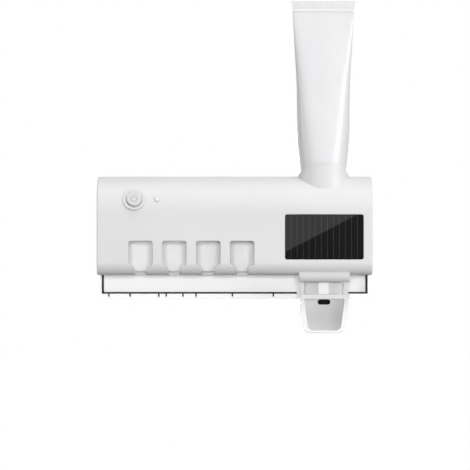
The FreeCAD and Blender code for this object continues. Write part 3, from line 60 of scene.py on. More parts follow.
# Toothpaste tube
TUBE_STRAIGHT = 28.0 * MM
TUBE_NECK_IN = 1.1 * MM
TUBE_SWELL = 2.0 * MM
TUBE_SWELL_FROM = 4.0 * MM
TUBE_SWELL_PEAK = 45.0 * MM
TUBE_SWELL_TO = 105.0 * MM
TUBE_WAIST = 0.9 * MM
TUBE_WAIST_RISE = 5.0 * MM
TUBE_THIN = 1.2 * MM
TUBE_FULLNESS = 0.55
TUBE_SOFT_SHARE = 0.25
TUBE_COLUMNS = 192
TUBE_ROWS = 120
# Dents in the tube: UP and SPREAD are shares of its height
THUMB_DEPTH = 0.55 * MM
THUMB_X = -6.0 * MM
THUMB_WIDTH = 9.0 * MM
THUMB_UP = 0.5
THUMB_SPREAD = 0.07
CREASE_DEPTH = 0.12 * MM
CREASE_RUN = 190.0 * MM
CREASE_UP = 0.62
CREASE_SPREAD = 0.012
FOLD_DEPTH = 0.25 * MM
FOLD_RUN = 120.0 * MM
FOLD_UP = 0.86
FOLD_SPREAD = 0.03
DENT_FOCUS = 1.5
DENT_REACH = 1.05
# Sealed end of the tube: a proud welded band under a strip of ridges
CRIMP_HEIGHT = 7.4 * MM
CRIMP_PITCH = 1.6 * MM
CRIMP_RIDGE = 0.22 * MM
CRIMP_STEPS = 8
CRIMP_STEP_HALF = 0.15 * MM
CRIMP_PRESS = 0.1 * MM
CRIMP_FADE = 0.8 * MM
CRIMP_FOOT_SHARE = 0.2
CRIMP_TOP_PRESS = 0.15 * MM
CRIMP_TOP_SHARE = 0.6
SEAL_BAND = 2.0 * MM
SEAL_PROUD = 0.55 * MM
SEAL_SLOPE_SHARE = 0.9
# Power mark on the button
MARK_RADIUS = 2.5 * MM
MARK_WIRE = 0.34 * MM
MARK_RISE_SHARE = 0.6
MARK_SIDES = 10
MARK_OPENING = math.radians(70)
MARK_ARC_STEPS = 40
MARK_BAR = 2.1 * MM
MARK_BAR_OUT_SHARE = 0.35
MARK_BAR_STEPS = 10
# Return spring
SPRING_WIRE = 0.8 * MM
SPRING_TURNS = 6.0
SPRING_DEAD_TURNS = 0.9
SPRING_DEAD_PITCH = 1.02 * SPRING_WIRE
SPRING_SIDES = 12
SPRING_STEPS = 40
# Cross-head screws at the back
SCREW_RECESS_WIDTH = 0.7 * MM
SCREW_RECESS_LENGTH = 2.2 * MM
SCREW_RECESS_DEPTH = 0.9 * MM
SCREW_RECESS_TAPER = 0.75
SCREW_TIP_SHARE = 0.15
SCREW_POINT_SHARE = 0.12
SCREW_RIM_SHARE = 0.45
SCREW_RIM_SLACK = 0.1 * MM
SCREW_UNDER_HEAD = 1.0 * MM
SCREW_DOME_STEPS = 7
SCREW_SIDES = 32
SCREW_SHARP_ANGLE = math.radians(40)
# Solar cells
CELL_COUNT = 13
CELL_LINE = 0.3 * MM
CELL_BORDER = 0.7 * MM
# Sunk faces of the lever's scoop and of the outlet block beside its duct, greyed with painted shade
SUNK_STEP = 0.8 * MM
SUNK_FACING = -0.75
SUNK_TURNED = -0.35
SCOOP_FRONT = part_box("push_lever")[0].y
SCOOP_TOP = -52.2 * MM
DUCT_FRONT = -41.3 * MM
COVER_FOOT = -32.0 * MM
# Heights between which painted shade greys the lever up to its ledge, under the hood, and the cover down
# to its foot, where it turns under
RIM_SHADE_CLEAR = -66.0 * MM
RIM_SHADE_FULL = -48.1 * MM
CHIN_SHADE_CLEAR = -22.0 * MM
CHIN_SHADE_FULL = -31.0 * MM
# Camera and its view of the object
CAMERA_DISTANCE = 2.5
VIEW_WIDTH = 0.4016
VIEW_CENTRE = Vector((0.0003, -0.05, 0.0025))
EYE = VIEW_CENTRE + Vector((0, -CAMERA_DISTANCE, 0))
SENSOR = 36.0
# Card that cuts the glare on the solar panel; LEFT and TOP are shares of its height and width
GLARE_LEFT = 0.84
GLARE_TOP = 0.93
GLARE_OVERRUN = 0.15
GLARE_SPREAD = 12.0 * MM
GLARE_BEHIND_EYE = 20.0 * MM
# Studio
OBJECT_MIDDLE = Vector((0.0, -0.03, 0.0))
AMBIENT = 0.235
FLOOR_Z = -1.9
FLOOR_REACH = 3.2
FLOOR_LIFT = 0.74
FLOOR_FADE_FROM = 0.3 * FLOOR_REACH
FLOOR_FADE_TO = 0.9 * FLOOR_REACH
CARD_X = -1.5
CARD_REACH = 0.9
CARD_FOOT = -0.46
CARD_TOP = 1.3
# Shaders
PLASTIC_IOR = 1.5
NOISE_LOW = 0.3
NOISE_HIGH = 0.7
NOISE_DETAIL = 3.0
BEVEL_SAMPLES = 6


def tint(red, green, blue):
    """A linear colour from display levels, 0 to 255."""

    def linear(level):
        share = level / 255
        return share / 12.92 if share <= 0.04045 else ((share + 0.055) / 1.055) ** 2.4

    return (linear(red), linear(green), linear(blue), 1.0)


def grey(level):
    """A neutral linear colour from its display level."""
    return tint(level, level, level)


def cool(level, blue):
    """A grey with a little more blue."""
    return tint(level, level, level + blue)


class Look:
    """A procedural material built from a few shared recipes, in the object's own coordinates."""

    def __init__(self, name, **sockets):
        self.material = bpy.data.materials.new(name)
        self.material.use_nodes = True
        self.tree = self.material.node_tree
        self.shader = self.tree.nodes["Principled BSDF"]
        coordinates = self.add("ShaderNodeTexCoord")
        self.place = coordinates.outputs["Object"]
        self.normal = coordinates.outputs["Normal"]
        for socket, value in sockets.items():
            self.shader.inputs[socket.replace("_", " ")].default_value = value

    def add(self, kind, **settings):
        """A new node of this kind with its settings."""
        node = self.tree.nodes.new(kind)
        for key, value in settings.items():
            setattr(node, key, value)
        return node

    def join(self, source, target):
        """Feeds a target socket from another socket or with a plain value."""
        if isinstance(source, bpy.types.NodeSocket):
            self.tree.links.new(source, target)
        else:
            target.default_value = source

    def noise(self, size, detail=NOISE_DETAIL, stretch=EVEN):
        """Noise whose blotches are about this size, longer along stretched axes."""
        scaled = self.add("ShaderNodeMapping")
        scaled.inputs["Scale"].default_value = [1 / s for s in stretch]
        self.join(self.place, scaled.inputs["Vector"])
        texture = self.add("ShaderNodeTexNoise")
        texture.inputs["Scale"].default_value = 1 / size
        texture.inputs["Detail"].default_value = detail
        self.join(scaled.outputs["Vector"], texture.inputs["Vector"])
        return texture.outputs["Fac"]

    def between(self, value, low, high, start=NOISE_LOW, end=NOISE_HIGH):
        """The value's stretch from start to end, spread over a new range."""
        span = self.add("ShaderNodeMapRange")
        limits = {"From Min": start, "From Max": end, "To Min": low, "To Max": high}
        for socket, number in limits.items():
            span.inputs[socket].default_value = number
        self.join(value, span.inputs["Value"])
        return span.outputs["Result"]

    def drift(self, size, stretch=EVEN):
        """Noise spread over 0 to 1."""
        return self.between(self.noise(size, stretch=stretch), 0, 1)

    def blend(self, factor, first, second):
        """A colour between two, each a colour or a socket."""
        mix = self.add("ShaderNodeMix", data_type="RGBA")
        self.join(factor, mix.inputs["Factor"])
        for name, colour in (("A", first), ("B", second)):
            target = [s for s in mix.inputs if s.name == name and s.type == "RGBA"][0]
            self.join(colour, target)
        return [s for s in mix.outputs if s.type == "RGBA"][0]

    def step(self, operation, first, second=0):
        """One arithmetic step on sockets or numbers."""
        node = self.add("ShaderNodeMath", operation=operation)
        for target, term in zip(node.inputs, (first, second)):
            self.join(term, target)
        return node.outputs["Value"]

    def split(self, vector):
        """The X, Y and Z of a vector socket."""
        parts = self.add("ShaderNodeSeparateXYZ")
        self.join(vector, parts.inputs["Vector"])
        return parts.outputs

    def coloured(self, colour):
        """Takes the base colour from a socket."""
        self.join(colour, self.shader.inputs["Base Color"])
        return self

    def colour(self):
        """The socket that gives the base colour so far."""
        return self.shader.inputs["Base Color"].links[0].from_socket

    def mottled(self, first, second, size, stretch=EVEN):
        """A base colour that drifts between two near colours."""
        return self.coloured(self.blend(self.drift(size, stretch), first, second))

    def polished(self, low, high, size, stretch=EVEN):
        """Roughness that wanders between two values."""
        wander = self.between(self.noise(size, stretch=stretch), low, high)
        self.join(wander, self.shader.inputs["Roughness"])
        return self

    def embossed(self, height, depth, soft_edge=0.0):
        """Relief from a height socket, with hard edges softened where a radius is given."""
        bump = self.add("ShaderNodeBump")
        bump.inputs["Distance"].default_value = depth
        self.join(height, bump.inputs["Height"])
        if soft_edge:
            bevel = self.add("ShaderNodeBevel", samples=BEVEL_SAMPLES)
            bevel.inputs["Radius"].default_value = soft_edge
            self.join(bevel.outputs["Normal"], bump.inputs["Normal"])
        self.join(bump.outputs["Normal"], self.shader.inputs["Normal"])
        return self

    def grained(self, size, depth, soft_edge=0.0, stretch=EVEN, detail=NOISE_DETAIL):
        """Fine uneven relief."""
        return self.embossed(self.noise(size, detail, stretch), depth, soft_edge)


def white_gloss(name, level, soft_edge=0.35 * MM):
    """Moulded white plastic with a soft gloss and faint flow marks."""
    look = Look(name, IOR=PLASTIC_IOR, Coat_Weight=0.12, Coat_Roughness=0.16)
    look.mottled(cool(level, blue=1), cool(level - 3, blue=1), size=24 * MM, stretch=(3, 1, 1))
    look.polished(low=0.34, high=0.44, size=9 * MM)
    return look.grained(size=0.9 * MM, depth=0.006 * MM, soft_edge=soft_edge)


def white_satin(name, level):
    """White plastic with a fine sparked texture."""
    look = Look(name, IOR=PLASTIC_IOR)
    look.mottled(grey(level), grey(level - 6), size=18 * MM)
    look.polished(low=0.5, high=0.64, size=4 * MM)
    return look.grained(size=0.35 * MM, depth=0.018 * MM, soft_edge=0.25 * MM, detail=5.0)


def rubber(name, level, rough=(0.55, 0.72), depth=0.02 * MM, shine=0.5):
    """Dark rubber or plastic, dull and faintly uneven."""
    look = Look(name, IOR=1.45, Specular_IOR_Level=shine)
    look.mottled(grey(level), grey(level + 9), size=3 * MM)
    look.polished(*rough, size=2 * MM)
    return look.grained(size=0.25 * MM, depth=depth, soft_edge=0.2 * MM)


def pale_rubber(name):
    """Milky silicone that lets a little light in."""
    look = Look(name, IOR=1.43, Transmission_Weight=0.12, Subsurface_Weight=0.25)
    look.shader.inputs["Subsurface Radius"].default_value = (2 * MM, 1.8 * MM, 1.6 * MM)
    look.shader.inputs["Subsurface Scale"].default_value = 1.0
    look.mottled(tint(226, 226, 222), tint(214, 214, 208), size=3 * MM)
    look.polished(low=0.4, high=0.55, size=2 * MM)
    return look.grained(size=0.3 * MM, depth=0.012 * MM)


def foam():
    """Closed-cell foam tape: small pits over a soft body, with painted shade greying the pits."""
    look = Look("foam_tape", IOR=1.4)
    cell = 0.7 * MM
    cells = look.add("ShaderNodeTexVoronoi")
    cells.inputs["Scale"].default_value = 1 / cell
    look.join(look.place, cells.inputs["Vector"])
    pits = look.between(cells.outputs["Distance"], 0, 1, start=0.1, end=0.7)
    # Painted shade: the pits are greyer than the body around them
    look.coloured(look.blend(pits, grey(196), grey(226)))
    look.polished(low=0.8, high=0.95, size=2 * MM)
    return look.embossed(pits, depth=0.12 * MM)


def steel(name):
    """Bright drawn steel, brushed along Z."""
    look = Look(name, Metallic=1.0)
    look.mottled(grey(206), grey(188), size=2 * MM, stretch=(1, 1, 6))
    look.polished(low=0.2, high=0.36, size=1.2 * MM, stretch=(1, 1, 8))
    return look.grained(size=0.12 * MM, depth=0.004 * MM, soft_edge=0.1 * MM)


def circuit_board():
    """Green solder mask with copper runs showing through as paler bands."""
    look = Look("circuit_board", IOR=PLASTIC_IOR, Coat_Weight=0.3, Coat_Roughness=0.2)
    pitch = 9 * MM
    runs = look.add("ShaderNodeTexBrick")
    runs.inputs["Scale"].default_value = 1 / pitch
    runs.inputs["Mortar Size"].default_value = 0.05
    look.join(look.place, runs.inputs["Vector"])
    look.coloured(look.blend(runs.outputs["Fac"], tint(22, 92, 52), tint(52, 138, 84)))
    look.polished(low=0.3, high=0.45, size=3 * MM)
    return look.grained(size=0.5 * MM, depth=0.01 * MM)


def clear_lamp(name, level, transmission):
    """Smooth clear or milky plastic of a lamp or lens."""
    look = Look(name, IOR=1.49, Transmission_Weight=transmission)
    look.mottled(cool(level, blue=3), cool(level - 5, blue=5), size=1.5 * MM)
    look.polished(low=0.12, high=0.22, size=1 * MM)
    return look.grained(size=0.4 * MM, depth=0.003 * MM)


def cell_wrap():
    """Blue shrink film with faint lengthwise wrinkles."""
    look = Look("cell_wrap", IOR=PLASTIC_IOR, Coat_Weight=0.4, Coat_Roughness=0.12)
    look.mottled(tint(36, 82, 140), tint(30, 72, 128), size=6 * MM, stretch=(4, 1, 1))
    look.polished(low=0.25, high=0.4, size=3 * MM)
    return look.grained(size=0.8 * MM, depth=0.02 * MM, stretch=(6, 1, 1))


def tube_laminate():
    """Plain white tube film with a soft sheen and faint handling creases."""
    look = Look("tube_laminate", IOR=PLASTIC_IOR, Coat_Weight=0.35, Coat_Roughness=0.14)
    look.mottled(cool(211, blue=1), cool(207, blue=2), size=20 * MM, stretch=(1, 1, 3))
    look.polished(low=0.28, high=0.38, size=7 * MM)
    return look.grained(size=6 * MM, depth=0.05 * MM, stretch=(1, 1, 2.5), detail=2.0)


def solar_glass():
    """Dark cells under clear glass, parted by thin pale lines, with a plain dark border."""
    low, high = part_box("solar_panel")
    pitch = (high.x - low.x) / CELL_COUNT
    look = Look("solar_glass", Specular_IOR_Level=0.0, Coat_Weight=1.0, Coat_Roughness=0.01, Coat_IOR=1.42)
    x, _, z = look.split(look.place)
    along = look.step("DIVIDE", look.step("SUBTRACT", x, low.x), pitch)
    across = look.step("FRACT", look.step("ADD", along, 0.5))
    off_line = look.step("ABSOLUTE", look.step("SUBTRACT", across, 0.5))
    on_line = look.step("LESS_THAN", off_line, CELL_LINE / pitch / 2)
    for value, start, end in ((x, low.x, high.x), (z, low.z, high.z)):
        away = look.step("ABSOLUTE", look.step("SUBTRACT", value, (start + end) / 2))
        inside = look.step("LESS_THAN", away, (end - start) / 2 - CELL_BORDER)
        on_line = look.step("MULTIPLY", on_line, inside)
    silicon = look.blend(look.drift(size=5 * MM, stretch=(1, 1, 9)), grey(24), cool(29, blue=3))
    look.coloured(look.blend(on_line, silicon, grey(66)))
    return look.polished(low=0.16, high=0.24, size=4 * MM)


def white_with_painted_recess_shade(name, level, recess_shade_level, front, top):
    """White gloss with painted shade: a greyer face wherever it lies sunk behind a front and below a top.
    """
    look = white_gloss(name, level)
    turned = look.split(look.normal)["Y"]
    _, y, z = look.split(look.place)
    facing = look.between(turned, 1, 0, SUNK_FACING, SUNK_TURNED)
    sunk = look.between(y, 0, 1, front + SUNK_STEP, front + 2 * SUNK_STEP)
    below = look.between(z, 1, 0, top, top + SUNK_STEP)
    # Painted shade: faces sunk in the recess take a greyer colour
    recess_shade_mask = look.step("MULTIPLY", look.step("MULTIPLY", facing, sunk), below)
    recess_shade_colour = look.blend(look.drift(size=6 * MM), grey(recess_shade_level), grey(recess_shade_level - 4))
    return look.coloured(look.blend(recess_shade_mask, look.colour(), recess_shade_colour))


def painted_shade(look, clear, full, level):
    """Paints shade into a look along Z, greying it from nothing at the clear height to this level at the
    full height.
    """
    _, _, z = look.split(look.place)
    shade = look.between(z, 0, 1, clear, full)
    return look.coloured(look.blend(shade, look.colour(), grey(level)))


def cover_white():
    """The cover's gloss, with painted shade making it slightly greyer towards its foot, where it turns
    under.
    """
    gloss = white_gloss("cover_white", level=209)
    # Painted shade on the cover's chin, which turns away from the light
    return painted_shade(gloss, CHIN_SHADE_CLEAR, CHIN_SHADE_FULL, level=201)


def lever_white():
    """The lever's gloss, with painted shade: grey in the scoop and up towards the ledge under the hood."""
    gloss = white_with_painted_recess_shade("lever_white", level=230, recess_shade_level=184, front=SCOOP_FRONT, top=SCOOP_TOP)
    # Painted shadow of the hood on the lever's rims, fading down from the ledge
    return painted_shade(gloss, RIM_SHADE_CLEAR, RIM_SHADE_FULL, level=203)


LOOKS = {
    "cover": cover_white(),
    "back": white_gloss("back_white", level=253),
    "lever": lever_white(),
    # Painted shade on the outlet block's faces sunk beside its duct
    "block": white_with_painted_recess_shade("block_white", level=242, recess_shade_level=207, front=DUCT_FRONT, top=COVER_FOOT),
    "button": white_gloss("button_white", level=199, soft_edge=0.2 * MM),
    "mark": white_gloss("mark_grey", level=166, soft_edge=0.1 * MM),
    "satin": white_satin("satin_white", level=238),
    "liner": white_satin("liner_white", level=252),
    "tube": tube_laminate(),
    "foam": foam(),
    "dark": rubber("dark_rubber", level=38),
    "black": rubber("black_silicone", level=5, rough=(0.35, 0.5), depth=0.01 * MM, shine=0.25),
    "pale": pale_rubber("pale_silicone"),
    "black_plastic": rubber("black_plastic", level=30, rough=(0.4, 0.55)),
    "solar": solar_glass(),
    "board": circuit_board(),
    "lamp": clear_lamp("lamp_dome", level=240, transmission=0.8),
    "lens": clear_lamp("indicator_white", level=228, transmission=0.15),
    "steel": steel("bright_steel"),
    "wrap": cell_wrap(),
}

NODE_LOOKS = {
    "cover": ["front_cover", "button_bezel"],
    "back": ["rear_housing"],
    "lever": ["push_lever"],
    "block": ["outlet_block"],
    "button": ["power_button"],
    "satin": ["wall_plate", "status_led", "tube_socket", "pump_cylinder", "piston"],
    "liner": ["chamber_liner"],
    "tube": ["tube_shoulder"],
    "foam": ["adhesive_pad"],
    "dark": ["rest_strip"],
    "black": ["outlet_valve", "piston_seal"],
    "pale": ["inlet_seal", "inlet_valve"],
    "black_plastic": ["tact_switch", "switch_plunger", "battery_cradle", "rod_bush"],
    "solar": ["solar_panel"],
    "board": ["uv_board", "control_board", "charge_board"],
    "lamp": ["uv_leds"],
    "lens": ["indicator_lens"],
    "steel": ["board_screws", "charge_socket", "pump_screws", "lever_pin"],
    "wrap": ["battery_cell"],
}

for look_name, node_names in NODE_LOOKS.items():
    for node_name in node_names:
        nodes[node_name].data.materials.clear()
        nodes[node_name].data.materials.append(LOOKS[look_name].material)


def joint(name):
    """The frame's joint of this name."""
    return [j for j in frame["joints"] if j["name"] == name][0]


def add_object(name, data):
    """A new object in the scene for a mesh, lamp or camera."""
    thing = bpy.data.objects.new(name, data)
    bpy.context.scene.collection.objects.link(thing)
    return thing


def piece(name, shape, body, look):
    """A smooth mesh object from a bmesh, riding a body."""
    mesh = bpy.data.meshes.new(name)
    bmesh.ops.recalc_face_normals(shape, faces=shape.faces)
    shape.to_mesh(mesh)
    shape.free()
    for face in mesh.polygons:
        face.use_smooth = True
    mesh.materials.append(LOOKS[look].material)
    thing = add_object(name, mesh)
    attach(thing, body)
    return thing


def angles(count):
    """Angles evenly spread over one turn."""
    return [2 * math.pi * k / count for k in range(count)]


def ring_grid(shape, rings, close_ends=True):
    """Quads between rings of points that all have the same count."""
    made = [[shape.verts.new(p) for p in ring] for ring in rings]
    count = len(made[0])
    for lower, upper in zip(made, made[1:]):
        for i in range(count):
            j = (i + 1) % count
            shape.faces.new((lower[i], lower[j], upper[j], upper[i]))
    if close_ends:
        shape.faces.new(reversed(made[0]))
        shape.faces.new(made[-1])
    return made


def smooth(share):
    """A soft step from 0 to 1, level at both ends."""
    share = min(1.0, max(0.0, share))
    return share * share * (3 - 2 * share)


def bell(distance, spread):
    """1 where the distance is nil, fading to nothing over about two spreads."""
    return math.exp(-(distance / spread) ** 2)


def dents(x, up):
    """Soft hollows and creases that handling leaves in a full tube, at a share of its height."""
    thumb = bell(x - THUMB_X, THUMB_WIDTH) * bell(up - THUMB_UP, THUMB_SPREAD)
    crease = bell(up - CREASE_UP - x / CREASE_RUN, CREASE_SPREAD)
    fold = bell(up - FOLD_UP + abs(x) / FOLD_RUN, FOLD_SPREAD)
    return THUMB_DEPTH * thumb + CREASE_DEPTH * crease + FOLD_DEPTH * fold


def tube_ring(cap, flat, up, give):
    """Points round one level of the tube: a round widened to both sides, dented where the film gives."""
    ring = []
    for angle in angles(TUBE_COLUMNS):
        u, v = math.cos(angle), math.sin(angle)
        stretch = u * math.sqrt(1 + TUBE_FULLNESS ** 2) / math.sqrt(u * u + TUBE_FULLNESS ** 2)
        x = cap * u + flat * stretch
        press = dents(x, up) * abs(v) ** DENT_FOCUS * give
        ring.append((x, v * max(cap - press, TUBE_THIN / 2)))
    return ring


def make_tube():
    """A full laminate tube: round at the shoulder, drawn out to a flat sealed end."""
    low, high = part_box("tube_sleeve")
    middle = (low + high) / 2
    rim_low, rim_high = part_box("tube_shoulder")
    radius = (rim_high.x - rim_low.x) / 2
    half = (high.x - low.x) / 2 - TUBE_NECK_IN
    height = high.z - CRIMP_HEIGHT - low.z
    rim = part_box("front_cover")[1].z - low.z
    rings = []
    for row in range(TUBE_ROWS + 1):
        up = height * row / TUBE_ROWS
        share = max(0.0, up - TUBE_STRAIGHT) / (height - TUBE_STRAIGHT)
        ease = smooth(share) * TUBE_SOFT_SHARE + share * (1 - TUBE_SOFT_SHARE)
        rise = smooth((up - TUBE_SWELL_FROM) / (TUBE_SWELL_PEAK - TUBE_SWELL_FROM))
        fall = smooth((TUBE_SWELL_TO - up) / (TUBE_SWELL_TO - TUBE_SWELL_PEAK))
        in_collar = smooth((rim + TUBE_WAIST_RISE / 2 - up) / TUBE_WAIST_RISE)
        waist = TUBE_WAIST * smooth(up / TUBE_SWELL_FROM) * in_collar
        cap = radius * (1 - ease) + TUBE_THIN / 2 * ease - waist
        flat = (half - TUBE_THIN / 2) * ease + TUBE_SWELL * rise * fall + waist
        give = math.sin(math.pi * min(1.0, share * DENT_REACH))
        ring = tube_ring(cap, flat, up / height, give)
        rings.append([(middle.x + x, middle.y + y, low.z + up) for x, y in ring])
    shape = bmesh.new()
    ring_grid(shape, rings)
    sleeve = piece("tube_film", shape, "tube", "tube")
    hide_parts("tube_sleeve")
    make_crimp(middle, half, high.z)


def make_crimp(middle, half, top):
    """The sealed end: a smooth welded band, then a strip pressed into fine upright ridges."""
    foot = top - CRIMP_HEIGHT
    thin = TUBE_THIN / 2
    count = round(2 * half / CRIMP_PITCH) * CRIMP_STEPS
    # Each level has a height, half a thickness and the share of the ridges that shows there
    levels = [
        (foot - SEAL_BAND, thin + SEAL_PROUD, 0.0),
        (foot - SEAL_BAND * SEAL_SLOPE_SHARE, thin + SEAL_PROUD, 0.0),
        (foot - CRIMP_STEP_HALF, thin + CRIMP_PRESS, 0.0),
        (foot + CRIMP_STEP_HALF, thin - CRIMP_PRESS, CRIMP_FOOT_SHARE),
        (foot + CRIMP_FADE, thin - CRIMP_PRESS, 1.0),
        (top - CRIMP_FADE, thin - CRIMP_PRESS, 1.0),
        (top, thin - CRIMP_TOP_PRESS, CRIMP_TOP_SHARE),
    ]
    rings = []
    for z, thick, share in levels:
        reach = half + max(0.0, (z - foot) / CRIMP_HEIGHT) * TUBE_NECK_IN
        front, back = [], []
        for step in range(count + 1):
            x = middle.x + reach * (2 * step / count - 1)
            wave = (1 + math.cos(2 * math.pi * step / CRIMP_STEPS)) / 2
            y = middle.y - CRIMP_RIDGE * share * wave
            front.append((x, y - thick, z))
            back.append((x, y + thick, z))
        rings.append(front + back[::-1])
    shape = bmesh.new()
    ring_grid(shape, rings)
    piece("tube_crimp", shape, "tube", "tube")


def make_power_mark():
    """A raised ring with a gap and a bar, the usual mark of a power switch."""
    out = -Vector(joint("button_press")["axis"]).normalized()
    face = max(vert.co.dot(out) for vert in nodes["power_button"].data.vertices)
    low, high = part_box("power_button")
    middle = (low + high) / 2
    centre = middle + out * (face - middle.dot(out))
    right = Vector((1, 0, 0))
    up = out.cross(right)
    up = up if up.z > 0 else -up
    sweep = 2 * math.pi - MARK_OPENING
    arc = []
    for i in range(MARK_ARC_STEPS + 1):
        angle = MARK_OPENING / 2 + sweep * i / MARK_ARC_STEPS
        arc.append(centre + MARK_RADIUS * (right * math.sin(angle) + up * math.cos(angle)))
    bar = []
    for i in range(MARK_BAR_STEPS + 1):
        bar.append(centre + up * (MARK_RADIUS + MARK_BAR * (MARK_BAR_OUT_SHARE - i / MARK_BAR_STEPS)))
    shape = bmesh.new()
    for line in (arc, bar):
        rings = []
        for before, point, after in zip(line[:1] + line, line, line[1:] + line[-1:]):
            side = (after - before).normalized().cross(out).normalized()
            rings.append([
                point + MARK_WIRE * (side * math.cos(a) + out * MARK_RISE_SHARE * math.sin(a))
                for a in angles(MARK_SIDES)
            ])
        ring_grid(shape, rings)
    piece("power_mark", shape, "button", "mark")


def make_spring():
    """Round wire turns with closed ends between the rod bush and the crosshead."""
    low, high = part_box("return_spring")
    middle = (low + high) / 2
    radius = (high.x - low.x - SPRING_WIRE) / 2
    live = SPRING_TURNS - 2 * SPRING_DEAD_TURNS
    dead_rise = SPRING_DEAD_PITCH * SPRING_DEAD_TURNS
    live_rise = high.z - low.z - SPRING_WIRE - 2 * dead_rise
    steps = int(SPRING_TURNS * SPRING_STEPS)
    upward = Vector((0, 0, 1))
    rings = []
    for i in range(steps + 1):
        turn = SPRING_TURNS * i / steps
        first = min(turn, SPRING_DEAD_TURNS)
        last = max(0.0, turn - SPRING_DEAD_TURNS - live)
        mid = turn - first - last
        rise = dead_rise * (first + last) / SPRING_DEAD_TURNS + live_rise * mid / live
        angle = 2 * math.pi * turn
        outward = Vector((math.cos(angle), math.sin(angle), 0))
        centre = Vector((middle.x, middle.y, low.z + SPRING_WIRE / 2 + rise)) + outward * radius
        rings.append([
            centre + SPRING_WIRE / 2 * (outward * math.cos(a) + upward * math.sin(a))
            for a in angles(SPRING_SIDES)
        ])
    shape = bmesh.new()
    ring_grid(shape, rings)
    coil = piece("spring_coil", shape, "housing", "steel")
    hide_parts("return_spring")
    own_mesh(coil)


def make_screws():
    """Pan-head screws with a cross recess, in place of the plain ones at the back."""
    groups = {}
    for vert in nodes["cover_screws"].data.vertices:
        groups.setdefault((vert.co.x > 0, vert.co.z > 0), []).append(vert.co)
    shape = bmesh.new()
    for points in groups.values():
        low = Vector([min(p[i] for p in points) for i in range(3)])
        high = Vector([max(p[i] for p in points) for i in range(3)])
        middle = (low + high) / 2
        head = (high.x - low.x) / 2
        reaches = [(math.hypot(p.x - middle.x, p.z - middle.z), p.y) for p in points]
        seat = min(y for reach, y in reaches if head - reach < SCREW_RIM_SLACK)
        shank = max(reach for reach, y in reaches if y < seat - SCREW_UNDER_HEAD)
        add_screw(shape, middle, (low.y, seat, high.y), head, shank)
    made = piece("cover_screw_steel", shape, "housing", "steel")
    made.data.set_sharp_from_angle(angle=SCREW_SHARP_ANGLE)
    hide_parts("cover_screws")


def add_screw(shape, middle, heights, head, shank):
    """One screw along Y: a pointed shank and a domed head with a cross recess in its flat top."""
    tip, seat, crown = heights
    point = tip + (seat - tip) * SCREW_POINT_SHARE
    profile = [(tip, shank * SCREW_TIP_SHARE), (point, shank), (seat, shank), (seat, head)]
    for i in range(SCREW_DOME_STEPS):
        angle = math.pi / 2 * i / SCREW_DOME_STEPS
        rise = SCREW_RIM_SHARE + (1 - SCREW_RIM_SHARE) * math.sin(angle)
        profile.append((seat + (crown - seat) * rise, head * math.sqrt(math.cos(angle))))
    rings = []
    for y, radius in profile:
        rings.append([
            Vector((middle.x + radius * math.cos(a), y, middle.z + radius * math.sin(a)))
            for a in angles(SCREW_SIDES)
        ])
    outside = ring_grid(shape, rings, close_ends=False)
    shape.faces.new(reversed(outside[0]))
    top = profile[-1][0]
    floor = cross(middle, top - SCREW_RECESS_DEPTH, SCREW_RECESS_TAPER)
    mouth = cross(middle, top, 1.0)
    recess = ring_grid(shape, [floor, mouth], close_ends=False)
    shape.faces.new(recess[0])
    edges = []
    for ring in (outside[-1], recess[1]):
        edges += [shape.edges.get((ring[i - 1], ring[i])) for i in range(len(ring))]
    bmesh.ops.triangle_fill(shape, use_beauty=True, edges=edges)


def cross(middle, y, scale):
    """The outline of an upright cross in the plane of this y, going round once."""
    near = scale * SCREW_RECESS_WIDTH / 2
    far = scale * SCREW_RECESS_LENGTH / 2
    outline = []
    for angle in angles(4):
        c, s = math.cos(angle), math.sin(angle)
        for a, b in ((near, near), (near, far), (-near, far)):
            outline.append(Vector((middle.x + a * c - b * s, y, middle.z + a * s + b * c)))
    return outline


def sheet(name, corners, look):
    """A flat studio sheet with these corners."""
    mesh = bpy.data.meshes.new(name)
    mesh.from_pydata(corners, [], [tuple(range(len(corners)))])
    mesh.materials.append(look.material)
    return add_object(name, mesh)


def make_floor():
    """A pale floor as far below the unit as it hangs on a wall, fading to white at its edges."""
    look = Look("floor_paper", Roughness=0.9, Emission_Color=WHITE)
    look.mottled(grey(168), grey(164), size=200 * MM)
    seen = look.add("ShaderNodeLightPath").outputs["Is Camera Ray"]
    away = look.add("ShaderNodeVectorMath", operation="LENGTH")
    look.join(look.place, away.inputs[0])
    fade = look.between(away.outputs["Value"], FLOOR_LIFT, 1.0, FLOOR_FADE_FROM, FLOOR_FADE_TO)
    look.join(look.step("MULTIPLY", seen, fade), look.shader.inputs["Emission Strength"])
    signs = ((-1, -1), (1, -1), (1, 1), (-1, 1))
    corners = [(x * FLOOR_REACH, y * FLOOR_REACH, FLOOR_Z) for x, y in signs]
    floor = sheet("floor", corners, look)


def make_card(name, corners):
    """A black studio card that the camera doesn't see, to keep light off one side."""
    look = Look(name, Specular_IOR_Level=0.0, Roughness=1.0)
    look.mottled(grey(6), grey(9), size=100 * MM)
    card = sheet(name, corners, look)
    card.visible_camera = False
    return card


def make_left_card():
    """A card that darkens the left side."""
    sides = ((-1, CARD_FOOT), (1, CARD_FOOT), (1, CARD_TOP), (-1, CARD_TOP))
    make_card("left_card", [(CARD_X, side * CARD_REACH, z) for side, z in sides])


